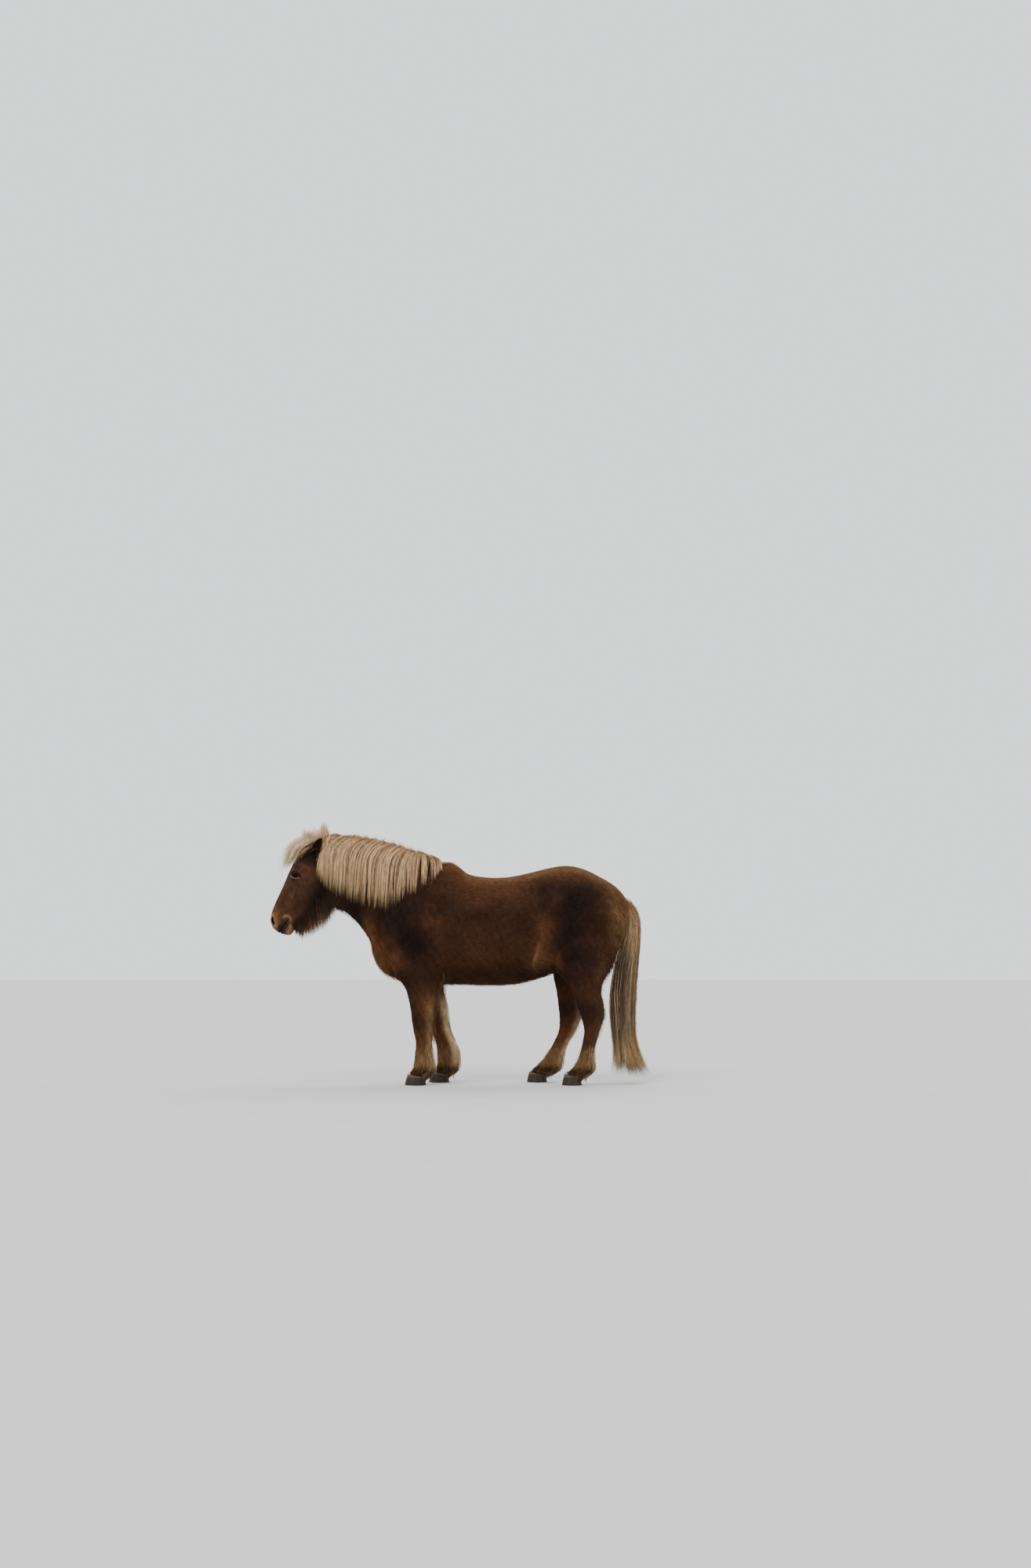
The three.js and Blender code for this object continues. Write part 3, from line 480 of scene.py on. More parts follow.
def leg_line(rows, z):
    """The x of a leg's middle and half its depth in the side view, at heights z."""
    r = np.array(rows[::-1])
    heights = (r[:, 1] + r[:, 3]) / 2
    return (np.interp(z, heights, (r[:, 0] + r[:, 2]) / 2),
            np.interp(z, heights, (r[:, 2] - r[:, 0]) / 2))


def coat_colour(p):
    """The colour of skin and tuft at places in millimetres."""
    x, y, z = p.T
    colour = np.tile(hue("liver"), (len(p), 1))

    def lay(name, share):
        nonlocal colour
        colour = mix(colour, hue(name), np.clip(share, 0, 1)[:, None])

    blur = p + rows_of(*(ripple(p, 90, seed) for seed in (5, 6, 7))) * 14
    for name, strength, row in MARKINGS_AND_PAINTED_LIGHT:
        # Only narrow rows have sharp edges, such as the painted highlight and shadow of the flank fold
        at = p if row[2] < 10 else blur
        lay(name, strength * patch(at[:, 0], at[:, 2], row))
    back = np.interp(x, *BACK_LINE)
    # Partly the back's own reddish brown, partly painted top light: lighter towards the top line, with a thin
    # golden band along it
    lay("warm", 0.75 * ramp(z, back - 150, back - 10) * ramp(x, -220, -60) * ramp(z, 800, 1000))
    lay("golden", 0.7 * ramp(z, back - 66, back - 12) * ramp(x, -160, 20) * ramp(z, 800, 1000))
    lay("warm", 0.5 * ramp(z, 700, 520))
    lay("golden", 0.6 * ramp(z, 330, 150))
    for name, (aside, rows, _) in LEGS.items():
        dark, pale, flaxen, brown = LEG_TONES[name]
        own = (np.sign(y) == np.sign(aside)) & ((x < 350) == (rows[0][0] < 0))
        middle, half = leg_line(rows, z)
        behind = (x - middle) / half
        lay("dark", dark * own * ramp(behind, 0.3, -0.6) * ramp(z, 320, 420) * ramp(z, 800, 650))
        # Pale hair behind the lower legs, partly painted rim light along their rear edges
        lay("pale_hair", pale * own * ramp(behind, 0.0, 0.85) * ramp(z, 600, 400) * ramp(z, 70, 120))
        lay("flaxen", flaxen * own * ramp(behind, 0.3, 0.95) * ramp(z, 600, 420) * ramp(z, 90, 150))
        lay("liver", brown * own * ramp(z, 190, 260) * ramp(z, 760, 560))
        lay("pale_hair", 0.2 * own * ramp(z, 260, 130) * ramp(z, 90, 120))
    # Knees, hocks and coronets
    lay("dark", 0.35 * bell(z, 390, 55) * ((x < 0) & (z < 600)))
    lay("dark", 0.55 * bell(z, 470, 70) * ((x > 350) & (z < 650)))
    lay("dark", 0.8 * bell(z, 86, 26))
    along, rise = head_place(x, z)
    face = ramp(along, -20, 60) * ramp(rise, -360, -330) * (x < -820)
    lay("liver", face)
    lay("muzzle", 0.05 * face)
    lay("warm", 0.16 * face * ramp(rise, -60, 0))
    for name, strength, row in FACE_MARKS_AND_PAINTED_LIGHT:
        lay(name, strength * face * patch(along, rise, row))
    # Painted shade on the underside of the cheek and along the jaw
    lay("dark", 0.95 * face * ramp(rise, -180, -240) * ramp(along, 60, 120) * ramp(along, 440, 320))
    lay("dark", 0.5 * face * ramp(along, 480, 360) * ramp(rise, -150, -200))
    # Painted shadow of the forelock and the ear over the back of the head and the temple
    lay("dark", 0.9 * face * ramp(along, 170, 100) * ramp(rise, -260, -170))
    lay("dark", 0.75 * face * ramp(along, 150, 60) * ramp(rise, 0, -50))
    lay("rust", 0.22 * face * ramp(along, 450, 530) * ramp(rise, -95, -50))
    lay("muzzle", 0.5 * face * ramp(along, 520, 585) * ramp(rise, -118, -90))
    lay("muzzle", 0.65 * face * ramp(along, 490, 560) * ramp(rise, -140, -156))
    # The corner of the mouth, the bare lip and the line between the lips
    corner = np.hypot((along - 513) / 22, (rise + 122) / 24)
    lay("muzzle", 0.5 * face * bell(corner, 1, 0.42) * ramp(along, 535, 500))
    dark_lip = ((along - 578) / 46) ** 2 + ((rise + 105) / 19) ** 2
    lay("bare", face * np.exp(-np.clip(dark_lip, 0, 50) ** 1.5))
    lay("bare", 0.8 * bell(rise, mouth_height(along), 4) * ramp(along, 500, 520) * face)
    for sign in SIDES.values():
        own = (np.sign(y) == sign) * face
        eye, _, w = almond(x, z, eye_centre(sign))
        lay("dark", 0.85 * own * ramp(eye, 1.8, 1.2) * ramp(w, -14, 0))
        lay("lid_pale", 0.5 * own * bell(eye, 1.25, 0.12) * ramp(w, 2, -6))
        lay("warm", 0.3 * own * bell(eye, 2.1, 0.3) * ramp(w, 6, 14))
    hole = nostril_place(along, rise)
    lay("muzzle", 0.9 * face * bell(hole, 1.4, 0.3))
    lay("bare", face * ramp(hole, 1.12, 0.9))
    # Painted shade deep in the nostril
    lay("dark", 0.8 * face * ramp(hole, 0.95, 0.6))
    # The ear is painted nearly black: painted shadow of the forelock
    lay("dark", 0.8 * ear_share(p))
    light = 1 + 0.09 * ripple(p, 150, 3) + 0.1 * ripple(p, 45, 4) + 0.1 * ripple(p * [1, 1, 0.3], 22, 8)
    return np.clip(colour * light[:, None], 0.001, 1)


# Meshes and materials

def paint(mesh, colours):
    """Gives each vertex its colour, and shades the mesh smoothly."""
    mesh.polygons.foreach_set("use_smooth", np.ones(len(mesh.polygons), bool))
    layer = mesh.color_attributes.new("tone", "FLOAT_COLOR", "POINT")
    whole = np.hstack([colours, np.ones((len(colours), 1))])
    layer.data.foreach_set("color", whole.astype(np.float32).ravel())


def new_object(name, verts, faces, colours=None):
    """A mesh object from arrays, in metres."""
    mesh = bpy.data.meshes.new(name)
    mesh.from_pydata([tuple(v) for v in verts], [], faces)
    mesh.update()
    if colours is not None:
        paint(mesh, colours)
    made = bpy.data.objects.new(name, mesh)
    bpy.context.scene.collection.objects.link(made)
    return made


def finish_piece(piece, look, replaces=()):
    piece.data.materials.clear()
    piece.data.materials.append(material(look))
    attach(piece, "root")
    if replaces:
        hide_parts(*replaces)
    return piece


def solid_copy(obj):
    """A plain mesh of what obj's modifiers make."""
    graph = bpy.context.evaluated_depsgraph_get()
    mesh = bpy.data.meshes.new_from_object(obj.evaluated_get(graph))
    old = obj.data
    obj.modifiers.clear()
    obj.data = mesh
    bpy.data.meshes.remove(old)
    return obj


class Graph:
    """Adds nodes to a tree with short calls."""

    tree = None

    def add(self, kind, inputs=None, **values):
        node = self.tree.nodes.new(kind)
        for key, value in values.items():
            setattr(node, key, value)
        for key, value in (inputs or {}).items():
            self.set(node, key, value)
        return node

    def set(self, node, key, value):
        if isinstance(value, bpy.types.NodeSocket):
            self.tree.links.new(value, node.inputs[key])
        else:
            node.inputs[key].default_value = value


class Nodes(Graph):
    """Builds a material's nodes."""

    def __init__(self, name):
        self.material = bpy.data.materials.new(name)
        self.material.use_nodes = True
        self.tree = self.material.node_tree
        self.shader = self.tree.nodes["Principled BSDF"]

    def surface(self, colour, rough, shine):
        for key, value in {"Base Color": colour, "Roughness": rough, "Specular IOR Level": shine}.items():
            self.set(self.shader, key, value)

    def noise(self, scale, detail, stretch=(1, 1, 1)):
        coordinates = self.add("ShaderNodeTexCoord").outputs["Object"]
        place = self.add("ShaderNodeMapping", {"Vector": coordinates, "Scale": stretch}).outputs["Vector"]
        values = {"Vector": place, "Scale": scale, "Detail": detail, "Roughness": 0.55}
        return self.add("ShaderNodeTexNoise", values).outputs["Fac"]

    def ramp(self, value, *stops):
        node = self.add("ShaderNodeValToRGB", {"Fac": value})
        for element, (at, colour) in zip(node.color_ramp.elements, stops):
            element.position = at
            element.color = (*colour, 1)
        return node.outputs["Color"]

    def multiply(self, a, b):
        node = self.add("ShaderNodeMix", {0: 1.0, 6: a, 7: b}, data_type="RGBA", blend_type="MULTIPLY")
        return node.outputs[2]

    def bump(self, height, strength, distance):
        node = self.add("ShaderNodeBump", {"Height": height, "Strength": strength, "Distance": distance})
        self.set(self.shader, "Normal", node.outputs["Normal"])

    def tone(self):
        return self.add("ShaderNodeAttribute", attribute_name="tone").outputs["Color"]


HAIR_NOISE = [(260, 2, (1, 1, 0.4), 0.3, 0.84, 0.7, 1.14), (55, 3, (1, 1, 0.28), 0.32, 0.78, 0.68, 1.24)]
# Name, roughness, shine, layers of noise, and how strong and how high the last layer is raised, or none.
# A layer is its scale, detail and stretch, then the place and the shade of its dark and its light stop.
MATERIALS = {
    "hide": ("skin_hide", 0.85, 0.08, [(120, 4, (1, 1, 0.35), 0.3, 0.75, 0.7, 1.15)], (0.6, 0.002)),
    "coat": ("coat_hair", 0.7, 0.06, HAIR_NOISE, None),
    "long": ("long_hair", 0.55, 0.2, HAIR_NOISE, None),
    "eye": ("eye_dark_glass", 0.05, 0.045, [(900, 2, (1, 1, 1), 0.3, 0.75, 0.7, 1.2)], None),
    "lid": ("lid_moist_skin", 0.5, 0.2, [(700, 3, (1, 1, 1), 0.3, 0.75, 0.7, 1.15)], (0.4, 0.0005)),
    "horn": ("hoof_horn", 0.7, 0.15, [(220, 3, (1, 1, 0.12), 0.25, 0.7, 0.75, 1.25),
                                      (60, 4, (0.3, 0.3, 3.2), 0.35, 0.7, 0.65, 1.2)], (0.5, 0.0015)),
}
COAT_SHEEN = {"Sheen Weight": 0.12, "Sheen Roughness": 0.45, "Sheen Tint": (0.85, 0.52, 0.28, 1)}


materials = {}


def material(look):
    """The mesh's own colours, varied by noise. Each material is made once."""
    if look in materials:
        return materials[look]
    name, rough, shine, layers, lift = MATERIALS[look]
    n = Nodes(name)
    colour = n.tone()
    for scale, detail, stretch, low, dark, high, light in layers:
        grain = n.noise(scale, detail, stretch)
        colour = n.multiply(colour, n.ramp(grain, (low, (dark,) * 3), (high, (light,) * 3)))
    n.surface(colour, rough, shine)
    if lift:
        n.bump(grain, *lift)
    if look == "coat":
        for key, value in COAT_SHEEN.items():
            n.set(n.shader, key, value)
    materials[look] = n.material
    return n.material


# Skin

def smooth_arrays(verts, edges, share, rounds):
    """Moves each vertex towards its neighbours' middle, by its own share."""
    count = len(verts)
    degree = np.bincount(edges.ravel(), minlength=count)[:, None]
    for _ in range(rounds):
        total = np.zeros_like(verts)
        for k in range(3):
            total[:, k] = (np.bincount(edges[:, 0], verts[edges[:, 1], k], count)
                           + np.bincount(edges[:, 1], verts[edges[:, 0], k], count))
        verts = verts + share[:, None] * (total / np.maximum(degree, 1) - verts)
    return verts


def read_array(items, key, width, kind=np.float32):
    values = np.zeros(len(items) * width, kind)
    items.foreach_get(key, values)
    return values.reshape(-1, width)


def mesh_arrays(mesh):
    """Places and normals of the vertices, and the two vertices of each edge."""
    places, normals = (read_array(mesh.vertices, key, 3).astype(float) for key in ("co", "normal"))
    return places, normals, read_array(mesh.edges, "vertices", 2, np.int32)


def set_verts(mesh, verts):
    mesh.vertices.foreach_set("co", np.asarray(verts, np.float32).ravel())
    mesh.update()


def soften(obj, share, rounds):
    """Smooths an object by a share at each place, given in millimetres."""
    verts, _, edges = mesh_arrays(obj.data)
    set_verts(obj.data, smooth_arrays(verts, edges, 0.5 * share(millimetres(verts)), rounds))


def edited(mesh, change):
    """Runs a change on the mesh's faces and edges."""
    bm = bmesh.new()
    bm.from_mesh(mesh)
    change(bm)
    bm.to_mesh(mesh)
    bm.free()
    mesh.update()


def refine(obj, wanted):
    """Splits the faces whose middle is wanted, given in millimetres, into four."""

    def split(bm):
        chosen = wanted(millimetres([f.calc_center_median() for f in bm.faces]))
        edges = {e for f, take in zip(bm.faces, chosen) if take for e in f.edges}
        bmesh.ops.subdivide_edges(bm, edges=list(edges), cuts=1, use_grid_fill=True)

    edited(obj.data, split)


# Muscles and bones of the body: a line in the side view, its radius and how far it stands out
BODY_FORMS = [
    (-300, 1130, -190, 1330, 60, 6),
    (-420, 880, -250, 1010, 70, 8),
    (-120, 780, -150, 1060, 40, -8),
    (-560, 1000, -470, 1160, 50, 6),
    (-700, 1150, -560, 1040, 40, -5),
    (60, 1000, 300, 980, 150, 5),
    (470, 1180, 560, 1050, 80, -10),
    (470, 690, 518, 870, 20, 10),
    (440, 700, 488, 870, 15, -6),
    (600, 850, 640, 960, 70, 9),
    (600, 1290, 660, 1260, 45, 6),
    (900, 1180, 950, 900, 28, -7),
    (760, 1150, 820, 950, 110, 8),
    (-270, 720, -250, 610, 40, 4),
    (820, 700, 830, 610, 40, 4),
]
# The same on the head, in its own frame
HEAD_FORMS = [
    (205, -34, 238, -33, 12, 7),
    (178, -66, 196, -58, 15, -7),
    (215, -88, 262, -86, 10, -3),
    (160, -58, 170, -122, 11, 3),
    (282, -98, 390, -103, 9, 7),
    (300, -128, 400, -132, 18, -6),
    (345, -55, 460, -55, 20, -5),
    (200, -235, 240, -215, 58, 5),
    (280, -180, 300, -250, 22, -3),
    (120, -230, 130, -280, 20, -4),
    (285, -78, 430, -68, 3.0, 2.0),
    (330, -130, 352, -200, 3.0, 1.8),
    (352, -200, 330, -250, 3.0, 1.4),
    (545, -172, 590, -168, 14, 5),
    (505, -128, 512, -150, 9, 3),
    (560, -110, 600, -105, 12, 4),
    (500, -70, 520, -95, 14, -3),
    (60, -150, 90, -240, 22, -4),
]


def line_distance(u, v, row):
    """How far places of a plane are from the line of a form."""
    a, b, c, d = row[:4]
    length = max((c - a) ** 2 + (d - b) ** 2, 1e-6)
    t = np.clip(((u - a) * (c - a) + (v - b) * (d - b)) / length, 0, 1)
    return np.hypot(u - a - t * (c - a), v - b - t * (d - b))


def shape_body(p, normal):
    """Lays the forms of the body and the head on the skin, all in millimetres."""
    raised = np.zeros(len(p))
    sideways = np.abs(normal[:, 1])
    for row in BODY_FORMS:
        raised += row[5] * bell(line_distance(p[:, 0], p[:, 2], row), 0, row[4]) * sideways
    along, rise = head_place(p[:, 0], p[:, 2])
    own = ramp(along, -30, 20) * ramp(rise, -370, -330) * (p[:, 0] < -860)
    cheek = ramp(sideways, 0.1, 0.6)
    for row in HEAD_FORMS:
        raised += own * row[5] * bell(line_distance(along, rise, row), 0, row[4]) * cheek
    lip = rise - mouth_height(along)
    raised += own * ramp(along, 498, 522) * (-5.5 * bell(lip, 0, 3.2) + 2.6 * bell(np.abs(lip), 10, 6))
    hole = nostril_place(along, rise)
    raised += own * ramp(sideways, 0.05, 0.3) * 4.5 * bell(hole, 1.35, 0.3)
    p = p + normal * raised[:, None]
    inward = unit(rows_of(0.45, -0.85 * np.sign(p[:, 1]), 0.1))
    deep = own * np.where(hole < 1.15, 30 * ramp(hole, 1.12, 0.35), 0)
    return p + inward * deep[:, None]


def shape_eyes(p):
    """Raises the lids over each eyeball and opens them, all in millimetres."""
    for sign in SIDES.values():
        centre = eye_centre(sign)
        middle = abs(centre[1])
        far = np.hypot(p[:, 0] - centre[0], p[:, 2] - centre[2])
        side = sign * p[:, 1]
        near = (far < 70) & (side > 0.35 * middle)
        q, u, w = almond(p[:, 0], p[:, 2], centre)
        dome = middle + np.sqrt(np.maximum(EYE["dome"] ** 2 - far**2, 0))
        dome = dome - 40 * ramp(far, EYE["dome"] - 1, 40)
        # The dome melts into the skin over k millimetres
        k = 7.0
        h = np.clip(0.5 + 0.5 * (dome - side) / k, 0, 1)
        raised = mix(side, dome, h) + k * h * (1 - h)
        above = (w > -4) * ramp(np.abs(u), 26, 14)
        raised += above * (-2.6 * bell(q, 1.62, 0.13) + 1.6 * bell(q, 1.95, 0.2))
        under = (w < 0) * ramp(np.abs(u), 24, 10)
        raised += under * (-1.6 * bell(q, 1.75, 0.15) + 1.2 * bell(q, 1.4, 0.15))
        inside = middle + np.sqrt(np.maximum((EYE["ball"] - 0.9) ** 2 - far**2, 0))
        raised = mix(raised, inside, ramp(q, 1.05, 0.93))
        p[:, 1] = np.where(near, sign * mix(side, raised, ramp(far, 66, 40)), p[:, 1])
    return p


EAR_SHELL = [
    (20, -42, -20, -42, 17, 0.5, 0, 0),
    (21, 0, -21, 0, 21, 0.5, 0, 0),
    (23, 38, -22, 38, 33, 0.5, 0, 0),
    (18, 76, -18, 76, 36, 0.5, 0, 0),
    (10, 110, -11, 110, 27, 0.5, 0, 0),
    (0, 136, -4, 136, 6, 0.5, 0, 0),
]
EAR_CUP = [
    (36, 4, 6, 10, 8, 0.5, 0, 0),
    (42, 38, -14, 38, 27.5, 0.5, 0, 0),
    (38, 76, -12, 76, 30.5, 0.5, 0, 0),
    (28, 108, -6, 108, 22, 0.5, 0, 0),
    (16, 130, -1, 130, 4.5, 0.5, 0, 0),
]


def ear_frame(sign):
    """The ear's base and its three ways: where it looks, across, and up, in millimetres."""
    x, z = on_head(EAR["along"], EAR["rise"])
    base = np.array([x, sign * EAR["aside"], z])
    up = unit(np.array([EAR["tip"][0] - x, sign * EAR["splay"], EAR["tip"][1] - z]))
    look = np.array([-0.55, sign * 0.85, 0.1])
    look = unit(look - up * (look @ up))
    return base, look, np.cross(up, look), up


def on_ear(p, sign):
    """Places of an ear, given by its own three ways from its base."""
    base, look, across, up = ear_frame(sign)
    return base + p[:, :1] * look + p[:, 1:2] * across + p[:, 2:3] * up


def near_ears(p, aside, low, high, off=0.0):
    """1 in a part of an ear and 0 elsewhere, by ramps aside from its line and up along it."""
    shares = []
    for sign in SIDES.values():
        base, *ways = ear_frame(sign)
        u, v, w = ((p - base) @ way for way in ways)
        shares.append(ramp(np.hypot(u - off, v), *aside) * ramp(w, *low) * ramp(w, *high))
    return np.maximum(*shares)


def ear_share(p):
    return near_ears(p, (44, 34), (4, 22), (150, 140))


def ear_cup_share(p):
    return near_ears(p, (24, 14), (2, 14), (126, 100), off=8)


def ear_object(sign):
    made = []
    for rows, rings, sides in ((EAR_SHELL, 34, 40), (EAR_CUP, 30, 36)):
        p, faces = Tube(rows).mesh(rings, sides)
        obj = new_object("ear_part", metres(on_ear(p, sign)), faces)
        outward(obj.data)
        made.append(obj)
    return boolean(made[0], made[1], "DIFFERENCE")


def outward(mesh):
    """Turns all faces of a closed mesh outwards."""
    edited(mesh, lambda bm: bmesh.ops.recalc_face_normals(bm, faces=bm.faces[:]))


def boolean(a, b, operation):
    cut = a.modifiers.new("join", "BOOLEAN")
    cut.operation = operation
    cut.object = b
    cut.solver = "MANIFOLD"
    solid_copy(a)
    if len(a.data.polygons) < 100:
        raise RuntimeError(f"{a.name} was lost while it was joined with {b.name}")
    bpy.data.objects.remove(b)
    return a


DEPTH = {"body": 5.0, "neck": 6.0, "head": 2.4, "leg_top": 2.5, "leg_low": 3.5}


def build_flesh():
    """The closed tubes of the flesh, inside the solids by the coat's depth, as one even mesh."""
    parts = [torso.mesh(120, 72, -DEPTH["body"]), neck.mesh(70, 64, -DEPTH["neck"]),
             head.mesh(110, 64, -DEPTH["head"])]
    depth = np.linspace(DEPTH["leg_top"], DEPTH["leg_low"], 111)
    parts += [leg.mesh(110, 40, -depth) for leg in legs.values()]
    starts = np.cumsum([0] + [len(p) for p, _ in parts]).tolist()
    faces = [tuple(start + i for i in face) for start, (_, own) in zip(starts, parts) for face in own]
    flesh = new_object("skin", metres(np.vstack([p for p, _ in parts])), faces)
    outward(flesh.data)
    remesh = flesh.modifiers.new("even", "REMESH")
    remesh.mode = "VOXEL"
    remesh.voxel_size = 0.0106
    remesh.use_smooth_shade = True
    return solid_copy(flesh)


def head_share(p):
    along, rise = head_place(p[:, 0], p[:, 2])
    return ramp(along, -60, 10) * (p[:, 0] < -850) * ramp(rise, -380, -340)


def build_skin():
    skin = build_flesh()
    verts, _, edges = mesh_arrays(skin.data)
    p = millimetres(verts)
    half = np.full(len(verts), 0.5)
    share = half * (1 - 0.93 * ramp(p[:, 2], 700, 560)) * (1 - 0.9 * head_share(p))
    soft = smooth_arrays(verts, edges, share, 34)
    # Gives back the broad part of what the smoothing took away
    lost = smooth_arrays(verts - soft, edges, half, 16)
    full = soft + 1.05 * lost * ramp(p[:, 2], 560, 700)[:, None]
    set_verts(skin.data, smooth_arrays(full, edges, half, 2))
    eyes = [eye_centre(s) for s in SIDES.values()]

    def near_eye(m, radius):
        return np.any([np.linalg.norm((m - e) * [1, 0.8, 1], axis=1) < radius for e in eyes], axis=0)

    def muzzle(m):
        along, rise = head_place(m[:, 0], m[:, 2])
        return (along > 492) & (rise > -400) & (m[:, 0] < -1000)

    def clean(bm):
        bmesh.ops.dissolve_degenerate(bm, edges=bm.edges[:], dist=1e-6)
        bmesh.ops.triangulate(bm, faces=bm.faces[:])

    refine(skin, lambda m: head_share(m) > 0.4)
    soften(skin, head_share, 3)
    refine(skin, lambda m: near_eye(m, 62) | muzzle(m))
    refine(skin, lambda m: near_eye(m, 38))
    soften(skin, lambda m: near_eye(m, 66) | muzzle(m), 3)
    verts, normals, _ = mesh_arrays(skin.data)
    set_verts(skin.data, metres(shape_eyes(shape_body(millimetres(verts), normals))))
    for sign in SIDES.values():
        boolean(skin, ear_object(sign), "UNION")
    soften(skin, lambda m: near_ears(m, (60, 36), (26, 6), (-50, -30)), 12)
    edited(skin.data, clean)
    p = millimetres(mesh_arrays(skin.data)[0])
    # The ear's cup is painted darker: painted shade in its hollow
    paint(skin.data, coat_colour(p) * (1 - 0.7 * ear_cup_share(p))[:, None])
    flesh_nodes = [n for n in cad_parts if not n.startswith(("eye", "hoof", "tail"))]
    return finish_piece(skin, "hide", flesh_nodes)


# Hair

class Growth(Graph):
    """A Geometry Nodes tree that grows hair from points, with named inputs for its sizes."""

    def __init__(self, name, *sizes):
        self.tree = bpy.data.node_groups.new(name, "GeometryNodeTree")
        face = self.tree.interface
        for way in ("INPUT", "OUTPUT"):
            face.new_socket("Geometry", in_out=way, socket_type="NodeSocketGeometry")
        kinds = {**dict.fromkeys(sizes, "NodeSocketFloat"), "Material": "NodeSocketMaterial"}
        self.keys = {size: face.new_socket(size, in_out="INPUT", socket_type=kind).identifier
                     for size, kind in kinds.items()}
        self.start = self.tree.nodes.new("NodeGroupInput").outputs

    def named(self, name, kind="FLOAT_VECTOR"):
        node = self.add("GeometryNodeInputNamedAttribute", {"Name": name}, data_type=kind)
        return node.outputs["Attribute"]

    def times(self, kind, a, b):
        return self.add(kind, {0: a, 1: b}, operation="MULTIPLY").outputs[0]

    def close(self, geometry):
        real = self.add("GeometryNodeRealizeInstances", {"Geometry": geometry})
        dressed = self.add("GeometryNodeSetMaterial", {"Geometry": real.outputs[0],
                                                       "Material": self.start["Material"]})
        self.set(self.add("NodeGroupOutput"), 0, dressed.outputs[0])
        return self

    def grow(self, name, points, edges, values, **inputs):
        """The plain mesh object that the tree makes of these points, in metres."""
        mesh = bpy.data.meshes.new(name)
        mesh.vertices.add(len(points))
        mesh.vertices.foreach_set("co", points.astype(np.float32).ravel())
        mesh.edges.add(len(edges))
        mesh.edges.foreach_set("vertices", edges.astype(np.int32).ravel())
        for key, value in values.items():
            kind, field = ("FLOAT", "value") if value.ndim == 1 else ("FLOAT_VECTOR", "vector")
            layer = mesh.attributes.new(key, kind, "POINT")
            layer.data.foreach_set(field, value.astype(np.float32).ravel())
        made = bpy.data.objects.new(name, mesh)
        bpy.context.scene.collection.objects.link(made)
        grower = made.modifiers.new("grow", "NODES")
        grower.node_group = self.tree
        for key, value in inputs.items():
            grower[self.keys[key]] = value
        solid_copy(made)
        for key in [*values, "sharp_edge"]:
            layer = made.data.attributes.get(key)
            if layer:
                made.data.attributes.remove(layer)
        made.data.name = name
        return made


def tuft_growth():
    """A thin three-sided cone on each point, along its own way."""
    t = Growth("tufts", "Thickness", "Length", "Flatness")
    thick, length = t.start["Thickness"], t.start["Length"]
    flat = t.times("ShaderNodeMath", thick, t.start["Flatness"])
    share = t.add("ShaderNodeCombineXYZ", {"X": flat, "Y": thick, "Z": length})
    size = t.times("ShaderNodeVectorMath", t.named("size"), share.outputs[0])
    cone = t.add("GeometryNodeMeshCone",
                 {"Vertices": 3, "Radius Top": 0.0, "Radius Bottom": 1.0, "Depth": 1.0})
    turn = t.add("FunctionNodeAxesToRotation", {0: t.named("along"), 1: t.named("out")},
                 primary_axis="Z", secondary_axis="X")
    each = t.add("GeometryNodeInstanceOnPoints",
                 {"Points": t.start["Geometry"], "Instance": cone.outputs["Mesh"],
                  "Rotation": turn.outputs[0], "Scale": size})
    return t.close(each.outputs[0])


def strand_growth():
    """A three-sided strand along each line of points, closed to one point at its tip."""
    t = Growth("strands", "Thickness", "Flatness")
    line = t.add("GeometryNodeMeshToCurve", {"Mesh": t.start["Geometry"]})
    turned_line = t.add("GeometryNodeSetCurveNormal",
                        {"Curve": line.outputs[0], "Normal": t.named("out")}, mode="FREE")
    ring = t.add("GeometryNodeCurvePrimitiveCircle", {"Resolution": 3, "Radius": 1.0}, mode="RADIUS")
    share = t.add("ShaderNodeCombineXYZ", {"X": t.start["Flatness"], "Y": 1.0, "Z": 1.0})
    flat = t.add("GeometryNodeTransform", {"Geometry": ring.outputs["Curve"], "Scale": share.outputs[0]})
    thick = t.times("ShaderNodeMath", t.named("thick", "FLOAT"), t.start["Thickness"])
    body = t.add("GeometryNodeCurveToMesh",
                 {"Curve": turned_line.outputs[0], "Profile Curve": flat.outputs[0], "Scale": thick,
                  "Fill Caps": True})
    tipped = t.add("GeometryNodeMergeByDistance", {"Geometry": body.outputs[0], "Distance": 2e-6})
    return t.close(tipped.outputs[0])


# Half the width of a strand's patch in the unwrap
PATCH = 0.0014
growths = {}


def growth(tuft):
    if tuft not in growths:
        growths[tuft] = tuft_growth() if tuft else strand_growth()
    return growths[tuft]


